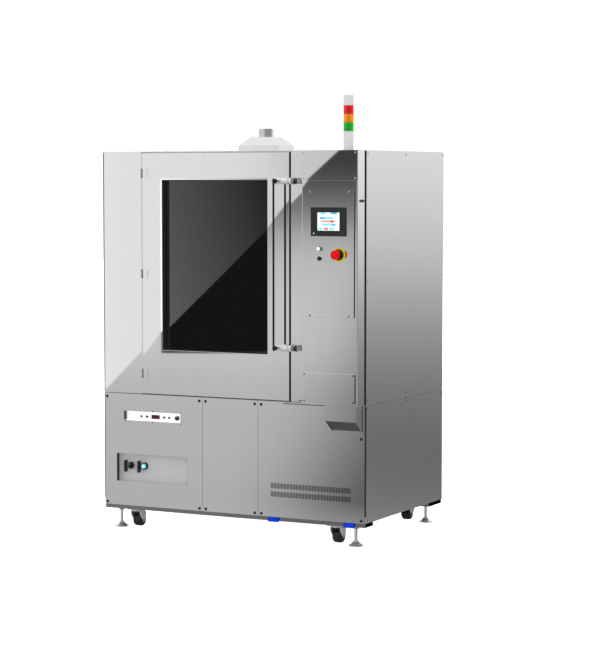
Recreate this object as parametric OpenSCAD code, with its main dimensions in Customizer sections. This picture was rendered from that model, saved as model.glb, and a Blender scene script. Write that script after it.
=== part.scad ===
// Floor-standing vat resin printer in a sheet-metal cabinet.
// Millimetres, Z up. The origin is on the floor, under the middle of the whole footprint.
// Inside the machine, x = 0 is the middle of the cabinet, y = 0 is the plane of the door and base panels,
// and y grows towards the back. machine() sets that frame into the part's own.

/* [Cabinet] */
// Width over the two side panels
body_w = 1454; // [1420:1:1640]
// Depth from the front panels to the back
body_d = 910; // [880:1:1100]
// Height of the panelled body
body_h = 1768; // [1740:1:1900]
// Height of the base compartment
base_h = 563; // [540:1:620]
// Floor to the lower edge of the panels
lift = 117; // [112:1:135]
// Thickness of the sheet panels
skin = 3; // [2:0.5:4]
// Shadow gap between neighbouring panels
seam = 4; // [3:0.5:6]
// Side of the square frame tube
tube = 50; // [40:1:55]
// Wall of the frame tube
tube_wall = 3; // [2:0.5:4]

/* [Base beams] */
// Depth of the front cross beam
front_beam_d = 92; // [80:1:110]
// Depth of the rear cross beam
rear_beam_d = 158; // [140:1:180]
// How far the beams hang below the panels
beam_drop = 20; // [14:1:24]

/* [Base panels] */
// Width of the left base panel
base_left_w = 561; // [540:1:600]
// Width of the middle base panel
base_mid_w = 308; // [260:1:340]
// Gap between two base panels
panel_gap = 1.5; // [1:0.5:4]
// Edges of the right base panel to the field of vent slots
vent_in = 67; // [60:1:120]
// Height of one row of slots
vent_h = 26; // [18:1:30]
// Width of one slot
slot_w = 4; // [3:0.5:5]
// Distance from slot to slot
slot_pitch = 8; // [7:0.5:12]
// Lower edge of the lower row, above the panel's edge
vent_z = 98; // [60:1:140]
// Gap between the two rows
vent_gap = 15; // [10:1:30]

/* [Door] */
// Width of the fixed strip on the hinge side
strip_w = 222; // [180:1:240]
// Width of the plate between the door and the column
post_w = 100; // [90:1:130]
// Depth of the door's box section
door_t = 87; // [60:1:92]
// Gap between the door and the latch post
latch_gap = 10; // [8:1:14]
// Door's hinge edge to the window
window_x = 114; // [90:1:125]
// Door's latch edge to the window
window_in = 118; // [100:1:150]
// Door's lower edge to the window
window_z = 221; // [190:1:240]
// Door's upper edge to the window
window_top = 133; // [100:1:200]
// Thickness of the window glass
glass_t = 8; // [5:0.5:10]
// How far the hinges stand from the door's ends
hinge_inset = 108; // [80:1:200]
// Length of a hinge
hinge_h = 42; // [36:1:80]
// Diameter of a hinge barrel
hinge_barrel = 9; // [8:0.5:12]
// Diameter of the hinge pin
hinge_pin = 5; // [4:0.5:6]

/* [Latch] */
// Depth of the upper bolt below the door's upper edge
latch_top = 137; // [100:1:220]
// Height of the lower bolt above the door's lower edge
latch_z = 256; // [220:1:300]
// Diameter of the bolt barrel
barrel_d = 32; // [28:1:36]
// Length of the bolt barrel
barrel_len = 94; // [84:1:100]
// Diameter of the sliding bolt
bolt_d = 18; // [14:1:20]
// Travel of the bolts
bolt_travel = 26; // [20:1:26]
// Diameter of the pull rod
rod_d = 10; // [8:1:14]
// Pull rod's middle in front of the door
rod_out = 60; // [54:1:75]

/* [Control column] */
// Width of the column
column_w = 293; // [280:1:310]
// How far the column stands out of the front
column_out = 85; // [75:1:110]
// Width of the control plate
plate_w = 258; // [240:1:266]
// Height of the control plate
plate_h = 599; // [560:1:640]
// Column top to the control plate
plate_drop = 188; // [170:1:220]
// Thickness of the covers and of the control plate
cover_t = 2; // [1.5:0.5:4]
// Height of the cover at the column's head
head_cover_h = 143; // [120:1:160]
// Height of the cover at the column's foot
foot_cover_h = 142; // [120:1:160]
// Width of the intake hood under the column
skirt_w = 164; // [140:1:180]
// Height of the hood's front
skirt_h = 72; // [60:1:90]
// Height of the hood where it meets the base
skirt_back_h = 135; // [110:1:150]

/* [Operator panel] */
// Width of the touch panel's bezel
hmi_w = 186; // [170:1:200]
// Height of the touch panel's bezel
hmi_h = 136; // [120:1:150]
// Width of the screen
screen_w = 117; // [100:1:130]
// Height of the screen
screen_h = 89; // [80:1:100]
// Diameter of the emergency stop's head
estop_d = 45; // [38:1:50]
// Diameter of its yellow ring
estop_ring_d = 69; // [60:1:76]
// How far the emergency stop stands out
estop_out = 52; // [46:1:60]
// Travel of the emergency stop
estop_travel = 5; // [3:0.5:7]
// Diameter of the lit start button
start_d = 20; // [16:1:24]
// Diameter of the black button
reset_d = 18; // [14:1:22]

/* [Chamber] */
// Thickness of the chamber lining
liner_t = 3; // [2:0.5:4]
// Chamber walls to the sides of the resin vat
vat_side = 84; // [80:1:110]
// Stop ring to the front of the resin vat
vat_front = 28; // [24:1:40]
// Rear wall to the back of the resin vat
vat_back = 64; // [62:1:90]
// Height of the vat
vat_h = 300; // [250:1:320]
// Wall of the vat
vat_wall = 6; // [4:1:10]
// Gap all round the build platform in the vat
platform_gap = 30; // [20:1:60]
// Platform travel down into the vat
platform_down = 240; // [150:1:240]

/* [Roof] */
// Width of the exhaust hood
hood_w = 224; // [180:1:260]
// Depth of the exhaust hood
hood_d = 166; // [140:1:220]
// Height of the hood
hood_h = 72; // [60:1:90]
// Outer diameter of the exhaust stub
stub_d = 74; // [60:1:90]
// Length of the exhaust stub
stub_len = 42; // [30:1:60]
// Depth of the hood's middle behind the front
hood_y = 368; // [300:1:480]
// Diameter of the signal tower
tower_d = 48; // [40:1:60]
// Height of one lens of the tower
lens_h = 40; // [30:1:50]

/* [Undercarriage] */
// Feet from the sides of the cabinet
foot_inset_x = 71; // [60:1:90]
// Feet from the front and the back
foot_inset_y = 45; // [42:1:60]
// Diameter of a foot
foot_d = 70; // [60:1:80]
// Diameter of a foot's threaded stem
stem_d = 16; // [12:1:20]
// Swivel axes of the casters from the sides
caster_inset_x = 168; // [150:1:200]
// Swivel axes of the casters from the front and the back
caster_inset_y = 38; // [36:1:42]
// Diameter of a caster wheel
wheel_d = 63; // [50:1:66]
// Width of a caster wheel
wheel_w = 46; // [38:1:48]
// Wheel axle behind the swivel axis
trail = 20; // [16:1:24]
// Floor to the resting caster wheels
wheel_clear = 8; // [5:1:12]

/* [Hidden] */
$fn = 64;
fine = 96;
fit = 0.3;        // clearance between pieces that only pass each other
weld = 0.2;       // gap that keeps sheets of one assembly as separate solids
pin_fit = 0.05;   // radial running clearance of a pin

hx = body_w / 2;
top_z = lift + body_h;
seam_z = lift + base_h;
front_x = hx - skin - 2;              // front panels stop short of the side panels
roof_z = top_z - skin;
side_x = hx - skin;                   // inner face of a side panel
back_y = body_d - skin;               // inner face of a rear panel
deck_z = seam_z + skin;               // top of the deck

screw_d = 8;
screw_out = 1.5;

// Depth of the whole machine sets where the door plane stands from the origin.
reach = column_out + estop_out;
front_y = (reach - body_d - screw_out) / 2;

// Column
col_x1 = front_x + 1;
col_x0 = col_x1 - column_w;
col_mid = (col_x0 + col_x1) / 2;

// Base panels
base_seam_1 = -front_x + base_left_w;
base_seam_2 = base_seam_1 + panel_gap + base_mid_w;
base_top = seam_z - seam / 2;

// Controller strip and switch recess in the left base panel
strip_x = 110;
strip_len = 326;
strip_h = 46;
strip_drop = 86;
strip_cut = [strip_x - front_x, strip_x + strip_len - front_x];
strip_cut_z = [base_top - strip_drop - strip_h, base_top - strip_drop];
strip_depth = 25;
strip_floor = 8;
recess_x = 67;
recess_len = 410;
recess_z = 120;
recess_h = 140;
recess_cut = [recess_x - front_x, recess_x + recess_len - front_x];
recess_cut_z = [lift + recess_z, lift + recess_z + recess_h];
recess_depth = 30;
tray_wall = 2;
switch_z = recess_cut_z[0] + 79;
main_x = recess_cut[0] + 70;
power_x = main_x + 77;
power_d = 28;
lamp_z = (strip_cut_z[0] + strip_cut_z[1]) / 2 - 3;
lamp_d = 11;
lamp_xs = [strip_cut[0] + 88, strip_cut[0] + 121, strip_cut[0] + 220, strip_cut[0] + 249];
meter_w = 47;
meter_h = 20;
meter_x = [strip_cut[0] + 146, strip_cut[0] + 146 + meter_w];
meter_z = [lamp_z - meter_h / 2, lamp_z + meter_h / 2];
knob_x = strip_cut[0] + 296;
knob_d = 23;
fin_w = 8;
fin_h = 58;
fin_out = 22;

// Door, between the fixed strip and the plate beside the column
door_x0 = -front_x + strip_w;
post_x0 = col_x0 - post_w;
door_x1 = post_x0 - latch_gap;
strip_x1 = door_x0 - seam;
door_z0 = seam_z + seam;
door_z1 = top_z - 8;
win_x0 = door_x0 + window_x;
win_z0 = door_z0 + window_z;
window_w = door_x1 - window_in - win_x0;
window_h = door_z1 - window_top - win_z0;
door_skin = 2;
glass_y = door_t * 0.42;              // the pane stands a little in front of the leaf's middle
hinge_x = door_x0 - seam / 2;
hinge_y = -hinge_barrel / 2 - 1;
hinge_zs = [door_z0 + hinge_inset - 8, (door_z0 + door_z1) / 2, door_z1 - hinge_inset + 8];
knuckle = hinge_h / 3;
stop_y = door_t + 3;                  // front face of the stop ring behind the door

// Latch: two barrels on the door, one pull rod with two bolts, two keepers on the post
barrel_over = 14;
pull_in = 17;
barrel_x1 = post_x0 + barrel_over;
barrel_x0 = barrel_x1 - barrel_len;
barrel_y = -barrel_d / 2 - 6;
bolt_zs = [door_z0 + latch_z, door_z1 - latch_top];
pull_x = barrel_x0 + pull_in;
pull_y = -rod_out;
arm_d = 8;
keeper_x0 = barrel_x1 + 16;
keeper_len = 20;
keeper_end = 4;
keeper_d = 27;

// Column front
col_y = -column_out + cover_t;        // front of the housing, behind the covers
col_z0 = seam_z + 2;
plate_z1 = top_z - plate_drop;
plate_z0 = plate_z1 - plate_h;
plate_y = -column_out;
hmi_drop = 216;
hmi_z0 = plate_z1 - hmi_drop;
hmi_x0 = col_mid - hmi_w / 2 - 3;
hmi_out = 4;
estop_at = [col_mid + 50, plate_z1 - 302];
start_at = [col_mid - 50, plate_z1 - 275];
reset_at = [col_mid - 50, plate_z1 - 321];
estop_neck = 18;
estop_head = 20;
hmi_rim = 11;
hmi_body = 30;
screen_x0 = hmi_x0 + (hmi_w - screen_w) / 2;
screen_z0 = hmi_z0 + (hmi_h - screen_h) / 2 + 2;
skirt_x1 = col_x1 - 6;
skirt_x0 = skirt_x1 - skirt_w;

// Chamber
ch_x0 = door_x0 + 20;
ch_x1 = door_x1 - 20;
ch_mid = (ch_x0 + ch_x1) / 2;
ch_y0 = stop_y + skin;
ch_z1 = win_z0 + window_h + 14;
ch_back = back_y - tube - 60;         // front face of the chamber's rear wall
ring_w = 40;
vat_y0 = ch_y0 + vat_front;
vat_w = ch_x1 - ch_x0 - 2 * (vat_side + vat_wall);
vat_d = ch_back - vat_back - vat_y0 - 2 * vat_wall;
vat_z0 = deck_z + fit;
vat_z1 = vat_z0 + vat_h;
platform_t = 12;
platform_z1 = vat_z1 - 20;
platform_w = vat_w - 2 * platform_gap;
platform_y0 = vat_y0 + vat_wall + platform_gap;
arm_t = 14;
arm_y = vat_y0 + vat_wall + vat_d - platform_gap;
rail_d = 20;
blade_h = 60;
blade_t = 36;
blade_y = vat_y0 + vat_wall + 18 - blade_t;
tower_zc = [ch_mid - 70, ch_mid + 70];
zrail_w = 40;
zrail_y = ch_back - 25;
recoat_z = [vat_z1 + 7, vat_z1 + 27];
scan_y = vat_y0 + vat_wall + vat_d / 2;
port_d = 80;                          // round port under the scan head

// Roof
tower_x = front_x - 66;
tower_y = -column_out / 2;
tower_stem_h = 88;
cap_h = 50;
fan_d = 120;

// Undercarriage
beam_z = lift - beam_drop;
foot_x = hx - foot_inset_x;
foot_ys = [foot_inset_y, body_d - foot_inset_y];
caster_x = hx - caster_inset_x;
caster_ys = [caster_inset_y, body_d - caster_inset_y];
axle_z = wheel_clear + wheel_d / 2;
axle_d = 8;
plate_size = [80, 64, 4];
fork_top = beam_z - plate_size[2] - 1;
fork_t = 3;

// ---- helpers ----

module machine(c) { color(c) translate([0, front_y, 0]) children(); }

// A box from its lowest to its highest value on each axis
module span(x, y, z) {
    translate([x[0], y[0], z[0]]) cube([x[1] - x[0], y[1] - y[0], z[1] - z[0]]);
}

// The same box with an opening right through it along one axis
module tube_span(x, y, z, wall, axis) {
    over = 1;
    grow = [axis == "x" ? -over : wall, axis == "y" ? -over : wall, axis == "z" ? -over : wall];
    difference() {
        span(x, y, z);
        span(x + [grow[0], -grow[0]], y + [grow[1], -grow[1]], z + [grow[2], -grow[2]]);
    }
}

// Cylinders along X and Y from one end to the other
module round_x(x, y, z, d) {
    translate([x[0], y, z]) rotate([0, 90, 0]) cylinder(d = d, h = x[1] - x[0], $fn = fine);
}
module round_y(x, y, z, d) {
    translate([x, y[1], z]) rotate([90, 0, 0]) cylinder(d = d, h = y[1] - y[0], $fn = fine);
}
module round_z(x, y, z, d) {
    translate([x, y, z[0]]) cylinder(d = d, h = z[1] - z[0], $fn = fine);
}

// ---- frame and skins ----

module base_beams() {
    machine("dimgray") difference() {
        union() {
            tube_span([-side_x, side_x], [skin, front_beam_d], [beam_z, beam_z + tube], tube_wall, "x");
            tube_span([-side_x, side_x], [back_y - rear_beam_d, back_y], [beam_z, beam_z + tube],
                      tube_wall, "x");
        }
        for (x = [-foot_x, foot_x], y = foot_ys)
            round_z(x, y, [beam_z - 1, beam_z + tube_wall + 1], stem_d + 2);
    }
}

module frame_tubes() {
    inner_x = side_x - tube;
    floor_z = beam_z + tube + weld;
    head_z = roof_z - tube;
    front_ys = [skin, skin + tube];
    rear_ys = [back_y - tube, back_y];
    side_ys = [skin + tube + weld, back_y - tube - weld];
    mid_z = seam_z - tube;
    machine("silver") {
        for (s = [-1, 1]) scale([s, 1, 1]) {
            tube_span([inner_x, side_x], front_ys, [floor_z, roof_z - weld], tube_wall, "z");
            tube_span([inner_x, side_x], rear_ys, [floor_z, roof_z - weld], tube_wall, "z");
            for (z = [floor_z, mid_z, head_z - weld])
                tube_span([inner_x, side_x], side_ys, [z, z + tube], tube_wall, "y");
        }
        tube_span([-inner_x + weld, inner_x - weld], front_ys, [mid_z, seam_z], tube_wall, "x");
        tube_span([-inner_x + weld, inner_x - weld], rear_ys, [mid_z, seam_z], tube_wall, "x");
        tube_span([-inner_x + weld, inner_x - weld], [ch_y0 + weld, ch_y0 + tube],
                  [head_z - weld, roof_z - weld], tube_wall, "x");
        tube_span([-inner_x + weld, inner_x - weld], rear_ys, [head_z - weld, roof_z - weld],
                  tube_wall, "x");
        tube_span([strip_x1 - tube, strip_x1], front_ys, [deck_z + weld, roof_z - weld], tube_wall, "z");
        tube_span([post_x0, post_x0 + tube], front_ys, [deck_z + weld, roof_z - weld], tube_wall, "z");
    }
}

module decks() {
    deck_x = side_x - tube - weld;
    machine("lightgray") {
        span([-deck_x, deck_x], [skin + 1, back_y - weld], [seam_z, deck_z]);
        span([-deck_x, deck_x], [skin + 1, back_y - weld], [beam_z + tube, beam_z + tube + skin]);
    }
}

module roof_panel() {
    machine("gainsboro") difference() {
        span([-hx, hx], [0, body_d], [roof_z, top_z]);
        round_z(0, hood_y, [roof_z - 1, top_z + 1], fan_d + 10);
    }
}

module rear_panels() {
    machine("gainsboro") {
        span([-side_x + weld, side_x - weld], [back_y, body_d], [lift, seam_z - seam / 2]);
        span([-side_x + weld, side_x - weld], [back_y, body_d], [seam_z + seam / 2, roof_z]);
    }
}

module side_panels() {
    machine("silver") for (s = [-1, 1]) scale([s, 1, 1]) {
        span([side_x, hx], [2, body_d], [lift, seam_z - seam / 2]);
        span([side_x, hx], [2, body_d], [seam_z + seam / 2, roof_z]);
    }
}

// Fixed strip beside the hinges and the plate between door and column
module front_frame() {
    machine("whitesmoke") {
        span([-front_x, strip_x1], [0, skin], [seam_z + seam / 2, roof_z]);
        span([post_x0, front_x], [0, skin], [seam_z + seam / 2, roof_z]);
    }
}

module base_panels() {
    panel_x0 = base_seam_2 + panel_gap;
    slots = floor((front_x - panel_x0 - 2 * vent_in) / slot_pitch);
    vent_x0 = (panel_x0 + front_x) / 2 - slots * slot_pitch / 2;
    machine("silver") {
        difference() {
            span([-front_x, base_seam_1], [0, skin], [lift, base_top]);
            span(strip_cut, [-1, skin + 1], strip_cut_z);
            span(recess_cut, [-1, skin + 1], recess_cut_z);
        }
        span([base_seam_1 + panel_gap, base_seam_2], [0, skin], [lift, base_top]);
        difference() {
            span([panel_x0, front_x], [0, skin], [lift, base_top]);
            for (i = [0 : slots - 1], row = [0, 1]) {
                x = vent_x0 + i * slot_pitch;
                z = lift + vent_z + row * (vent_h + vent_gap);
                span([x, x + slot_w], [-1, skin + 1], [z, z + vent_h]);
            }
        }
    }
}

// ---- print chamber ----

module chamber_liner() {
    outer_x = [strip_x1 - tube, post_x0 + tube];
    open_x = [door_x0 + ring_w, door_x1 - ring_w];
    open_z = [door_z0 + ring_w, ch_z1 - 6];
    ring_y = [stop_y, ch_y0];
    ring_z = [deck_z + weld, roof_z - weld];
    jamb_y = [skin + tube + weld, stop_y - weld];
    wall_y = [ch_y0 + weld, ch_back];
    wall_z = [deck_z + weld, ch_z1];
    machine("darkgray") {
        // stop ring that the closed door's gasket meets
        span([outer_x[0], open_x[0] - weld], ring_y, ring_z);
        span([open_x[1] + weld, outer_x[1]], ring_y, ring_z);
        span(open_x, ring_y, [ring_z[0], open_z[0]]);
        span(open_x, ring_y, [open_z[1], ring_z[1]]);
        span([strip_x1 - skin, strip_x1], jamb_y, ring_z);
        span([post_x0, post_x0 + skin], jamb_y, ring_z);
        // walls, rear wall and ceiling
        span([ch_x0 - liner_t, ch_x0], wall_y, wall_z);
        span([ch_x1, ch_x1 + liner_t], wall_y, wall_z);
        span([ch_x0 - liner_t, ch_x1 + liner_t], [ch_back + weld, ch_back + liner_t + weld],
             [deck_z + weld, ch_z1 + liner_t]);
        difference() {
            span([ch_x0 - liner_t, ch_x1 + liner_t], wall_y, [ch_z1 + weld, ch_z1 + weld + liner_t]);
            round_z(ch_mid, scan_y, [ch_z1 - 1, ch_z1 + liner_t + 1], port_d);
        }
    }
}

module resin_vat() {
    x = [ch_mid - vat_w / 2 - vat_wall, ch_mid + vat_w / 2 + vat_wall];
    y = [vat_y0, vat_y0 + vat_d + 2 * vat_wall];
    machine("lightsteelblue") difference() {
        span(x, y, [vat_z0, vat_z1]);
        span(x + [vat_wall, -vat_wall], y + [vat_wall, -vat_wall], [vat_z0 + vat_wall, vat_z1 + 1]);
    }
}

// Platform, its two arms and the carriage on the vertical rails
module build_platform() {
    hook_z = [platform_z1 + platform_down + 32, platform_z1 + platform_down + 67];
    car_y = [arm_y + 43, arm_y + 55];
    machine("silver") {
        span([ch_mid - platform_w / 2, ch_mid + platform_w / 2], [platform_y0, arm_y],
             [platform_z1 - platform_t, platform_z1]);
        for (x = tower_zc) {
            span([x - arm_t / 2, x + arm_t / 2], [arm_y - arm_t, arm_y], [platform_z1, hook_z[1]]);
            span([x - arm_t / 2, x + arm_t / 2], [arm_y, car_y[0]], hook_z);
        }
        span([ch_mid - 110, ch_mid + 110], car_y, [hook_z[0] - 50, hook_z[1] + 35]);
        for (x = tower_zc)
            span([x - zrail_w / 2, x + zrail_w / 2], [car_y[1], zrail_y - fit],
                 [hook_z[0] - 40, hook_z[1] + 25]);
    }
}

module linear_rails() {
    y = [ch_y0 + 3, ch_back];
    post_w = 30;
    machine("gray") {
        // two vertical rails and the drive housing between them
        for (x = tower_zc)
            span([x - rail_d / 2, x + rail_d / 2], [zrail_y, ch_back], [deck_z + weld, ch_z1 - 20]);
        span([ch_mid - post_w / 2, ch_mid + post_w / 2], [zrail_y, ch_back],
             [deck_z + weld, ch_z1 - 20]);
        // recoater rails, each on three brackets from the side walls
        for (s = [-1, 1]) translate([ch_mid, 0, 0]) scale([s, 1, 1]) {
            rail_x = vat_w / 2 + vat_wall + 20;
            wall_x = (ch_x1 - ch_x0) / 2;
            span([rail_x, rail_x + rail_d], y, recoat_z);
            for (t = [0.05, 0.5, 0.95]) {
                at = y[0] + t * (y[1] - y[0] - 20);
                span([rail_x + rail_d, wall_x], [at, at + 20], recoat_z);
            }
        }
    }
}

module recoater() {
    end_x = vat_w / 2 + vat_wall + 20 + rail_d + 10;
    blade = [ch_mid - vat_w / 2 + 15, ch_mid + vat_w / 2 - 15];
    machine("gainsboro") {
        span([ch_mid - end_x, ch_mid + end_x], [blade_y, blade_y + blade_t],
             [recoat_z[1] + fit, recoat_z[1] + fit + blade_h - 24]);
        span(blade, [blade_y + 11, blade_y + 25], [vat_z1 + 3, recoat_z[1] + fit]);
    }
}

// Laser and mirror box over the ceiling, with its lens looking down through the port
module scan_head() {
    w = 200;
    h = 92;
    machine("dimgray") {
        span([ch_mid - w / 2, ch_mid + w / 2], [scan_y - w / 2, scan_y + w / 2],
             [ch_z1 + liner_t + weld, ch_z1 + liner_t + h]);
        round_z(ch_mid, scan_y, [ch_z1 - 15, ch_z1 + liner_t + 1], port_d - 2);
    }
}

// Mounting plate with power supplies and drives in the base
module electrics() {
    z0 = beam_z + tube + skin;
    board = [460, 3, 400];
    board_x = -board[0] - 60;
    drive = [90, 90, 140];
    drive_pitch = 108;
    supply = [120, 120, 160];
    supply_pitch = 145;
    chiller = [300, 260, 300];
    chiller_x = 260;
    edge = 20;
    y = body_d / 2;
    machine("darkslategray") {
        span([board_x, board_x + board[0]], [y, y + board[1]], [z0, z0 + board[2]]);
        for (i = [0 : 3]) {
            x = board_x + edge + i * drive_pitch;
            z = z0 + board[2] - edge;
            span([x, x + drive[0]], [y - drive[1], y], [z - drive[2], z]);
        }
        for (i = [0 : 2]) {
            x = board_x + edge + i * supply_pitch;
            z = z0 + 2 * edge;
            span([x, x + supply[0]], [y - supply[1], y], [z, z + supply[2]]);
        }
        span([chiller_x, chiller_x + chiller[0]], [y - chiller[1] / 2, y + chiller[1] / 2],
             [z0, z0 + chiller[2]]);
    }
}

// ---- control column ----

module column_housing() {
    window = 18;
    machine("silver") difference() {
        span([col_x0, col_x1], [col_y, 0], [col_z0, top_z]);
        span([col_x0 + skin, col_x1 - skin], [col_y + skin, 1], [col_z0 + skin, top_z - skin]);
        span([col_mid - plate_w / 2 + window, col_mid + plate_w / 2 - window], [col_y - 1, col_y + skin + 1],
             [estop_at[1] - 60, plate_z1 - window]);
    }
}

module column_covers() {
    y = [-column_out, col_y];
    inset = 6;
    foot_z = col_z0 + 11;
    machine("gainsboro") {
        span([col_x0, col_x1], y, [top_z - head_cover_h, top_z]);
        span([col_x0 + inset, col_x1 - inset - 8], y, [foot_z, foot_z + foot_cover_h]);
    }
}

module control_plate() {
    machine("darkgray") difference() {
        span([col_mid - plate_w / 2, col_mid + plate_w / 2], [plate_y, col_y], [plate_z0, plate_z1]);
        span([hmi_x0 + hmi_rim, hmi_x0 + hmi_w - hmi_rim], [plate_y - 1, col_y + 1],
             [hmi_z0 + hmi_rim, hmi_z0 + hmi_h - hmi_rim]);
        round_y(estop_at[0], [plate_y - 1, col_y + 1], estop_at[1], estop_neck + 4);
        round_y(start_at[0], [plate_y - 1, col_y + 1], start_at[1], start_d - 2);
        round_y(reset_at[0], [plate_y - 1, col_y + 1], reset_at[1], reset_d - 2);
    }
}

// Intake hood: a sheet shell whose sloping underside is open
module column_skirt() {
    profile = [[-column_out, 0], [0, 0], [0, -skirt_back_h], [-column_out, -skirt_h]];
    t = skin;
    machine("silver") translate([skirt_x0, 0, col_z0 - weld]) difference() {
        rotate([90, 0, 90]) linear_extrude(skirt_w) polygon(profile);
        translate([t, 0, 0]) rotate([90, 0, 90]) linear_extrude(skirt_w - 2 * t)
            polygon([[t - column_out, -t], [-t, -t], [-t, -skirt_back_h * 2], [t - column_out, -skirt_back_h * 2]]);
    }
}

// ---- operator panel ----

module hmi_bezel() {
    y0 = plate_y - hmi_out;
    machine([0.13, 0.14, 0.14]) difference() {
        union() {
            span([hmi_x0, hmi_x0 + hmi_w], [y0, plate_y], [hmi_z0, hmi_z0 + hmi_h]);
            span([hmi_x0 + hmi_rim + 1, hmi_x0 + hmi_w - hmi_rim - 1], [y0 + 1, plate_y + hmi_body],
                 [hmi_z0 + hmi_rim + 1, hmi_z0 + hmi_h - hmi_rim - 1]);
        }
        span([screen_x0, screen_x0 + screen_w], [y0 - 1, y0 + 2], [screen_z0, screen_z0 + screen_h]);
    }
}

// Screen of the touch panel and window of the controller strip
module display_glass() {
    y0 = plate_y - hmi_out;
    machine("white")
        span([screen_x0, screen_x0 + screen_w], [y0 + 1, y0 + 2], [screen_z0, screen_z0 + screen_h]);
    machine([0.1, 0.1, 0.12])
        span(meter_x, [strip_depth - 1, strip_depth], meter_z);
}

module estop_ring() {
    machine("gold") difference() {
        round_y(estop_at[0], [plate_y - 2, plate_y], estop_at[1], estop_ring_d);
        round_y(estop_at[0], [plate_y - 3, plate_y + 1], estop_at[1], estop_neck + 4);
    }
}

module estop_button() {
    y0 = plate_y - estop_out;
    machine("red") {
        round_y(estop_at[0], [y0 + estop_head, plate_y - 1], estop_at[1], estop_neck);
        round_y(estop_at[0], [y0 + 5, y0 + estop_head], estop_at[1], estop_d);
        round_y(estop_at[0], [y0, y0 + 5], estop_at[1], estop_d - 8);
    }
}

module push_button(at, y, d, c) {
    machine(c) {
        round_y(at[0], [y[0], y[1] - 4], at[1], d - 2);
        round_y(at[0], [y[1] - 5, y[1] + 3], at[1], d - 6);
    }
}
module start_button() { push_button(start_at, [plate_y - 18, plate_y], start_d, "palegreen"); }
module reset_button() { push_button(reset_at, [plate_y - 10, plate_y], reset_d, "black"); }
module power_button() { push_button([power_x, switch_z], [10, recess_depth - 2], power_d, "aquamarine"); }

// Fixed collars, rings, lamp bodies and guard fins round the controls
module button_bezels() {
    estop_stop = plate_y - estop_out + estop_head + estop_travel + 5;
    machine([0.1, 0.1, 0.1]) {
        collar(estop_at, [estop_stop, plate_y - 2], estop_d - 7, estop_neck + 0.6);
        collar(start_at, [plate_y - 4, plate_y], start_d + 4, start_d - 1.4);
        collar(reset_at, [plate_y - 6, plate_y], reset_d + 3, reset_d - 1.4);
        collar([power_x, switch_z], [14, recess_depth], power_d + 10, power_d - 1.4);
        collar([main_x, switch_z], [recess_depth - 4, recess_depth], 50, axle_d + 2 * pin_fit);
        for (x = [main_x, power_x])
            span([x - 34, x - 34 + fin_w], [recess_depth - fin_out, recess_depth],
                 [switch_z - fin_h / 2 - 4, switch_z + fin_h / 2 - 4]);
        for (x = lamp_xs) round_y(x, [strip_depth - 3, strip_depth], lamp_z, lamp_d);
    }
}
module collar(at, y, d, bore) {
    difference() {
        round_y(at[0], y, at[1], d);
        round_y(at[0], [y[0] - 1, y[1] + 1], at[1], bore);
    }
}

// Recessed controller with a knob, and the tray of the main switches
module controller_panel() {
    tray_shell(strip_cut, strip_cut_z, strip_depth, strip_floor, "white",
               [[knob_x, lamp_z, axle_d + 2 * pin_fit]]);
}
module switch_tray() {
    tray_shell(recess_cut, recess_cut_z, recess_depth, tray_wall, "silver",
               [[main_x, switch_z, axle_d + 2 * pin_fit], [power_x, switch_z, power_d - 2]]);
}
module tray_shell(x, z, depth, floor_t, c, holes) {
    w = tray_wall;
    machine(c) difference() {
        span(x + [-w, w], [skin, depth + floor_t], z + [-w, w]);
        span(x, [skin - 1, depth], z);
        for (hole = holes) round_y(hole[0], [depth - 1, depth + floor_t + 1], hole[1], hole[2]);
    }
}

module controller_knob() {
    machine([0.1, 0.1, 0.1]) {
        round_y(knob_x, [strip_depth - 14, strip_depth - fit], lamp_z, knob_d);
        round_y(knob_x, [strip_depth - 1, strip_depth + 7], lamp_z, axle_d);
    }
}

module main_switch() {
    y = [8, recess_depth - 4 - fit];
    machine([0.1, 0.1, 0.1]) {
        round_y(main_x, [y[0] + 8, y[1]], switch_z, 36);
        span([main_x - 5, main_x + 5], [y[0], y[0] + 9], [switch_z - 17, switch_z + 17]);
        round_y(main_x, [y[1] - 1, recess_depth + tray_wall - 0.5], switch_z, axle_d);
    }
}

// ---- door ----

module door_shell() {
    x = [door_x0, door_x1];
    z = [door_z0, door_z1];
    win_x = [win_x0, win_x0 + window_w];
    win_z = [win_z0, win_z0 + window_h];
    t = door_skin;
    machine("whitesmoke") {
        difference() {
            span(x, [0, door_t - t - weld], z);
            // hollow behind the front skin, all round the window's reveal
            difference() {
                span(x + [t, -t], [skin, door_t], z + [t, -t]);
                span(win_x + [-t, t], [0, door_t + 1], win_z + [-t, t]);
            }
            span(win_x, [-1, door_t + 1], win_z);
        }
        difference() {
            span(x, [door_t - t, door_t], z);
            span(win_x, [-1, door_t + 1], win_z);
        }
    }
}

module door_glass() {
    machine([0.1, 0.1, 0.12, 0.6])
        span([win_x0 + weld, win_x0 + window_w - weld], [glass_y, glass_y + glass_t],
             [win_z0 + weld, win_z0 + window_h - weld]);
}

// Sides of the hinges: -1 is the cabinet's leaf, 1 the door's
module leaf(side, z, segments) {
    leaf_w = 26;
    leaf_t = 2;
    edge = hinge_barrel / 2 + 1;
    translate([hinge_x, 0, z - hinge_h / 2]) {
        span(side > 0 ? [edge, edge + leaf_w] : [-edge - leaf_w, -edge], [-leaf_t, 0], [0, hinge_h]);
        for (i = segments) {
            web = i * knuckle + (i > 0 ? weld : 0);
            h = knuckle - (i > 0 ? weld : 0);
            span(side > 0 ? [1, edge] : [-edge, -1], [-leaf_t, 0], [web, web + h]);
            difference() {
                translate([0, hinge_y, web]) cylinder(d = hinge_barrel, h = h, $fn = fine);
                if (side > 0) translate([0, hinge_y, web - 1])
                    cylinder(d = hinge_pin + 2 * pin_fit, h = h + 2, $fn = fine);
            }
        }
    }
}

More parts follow.
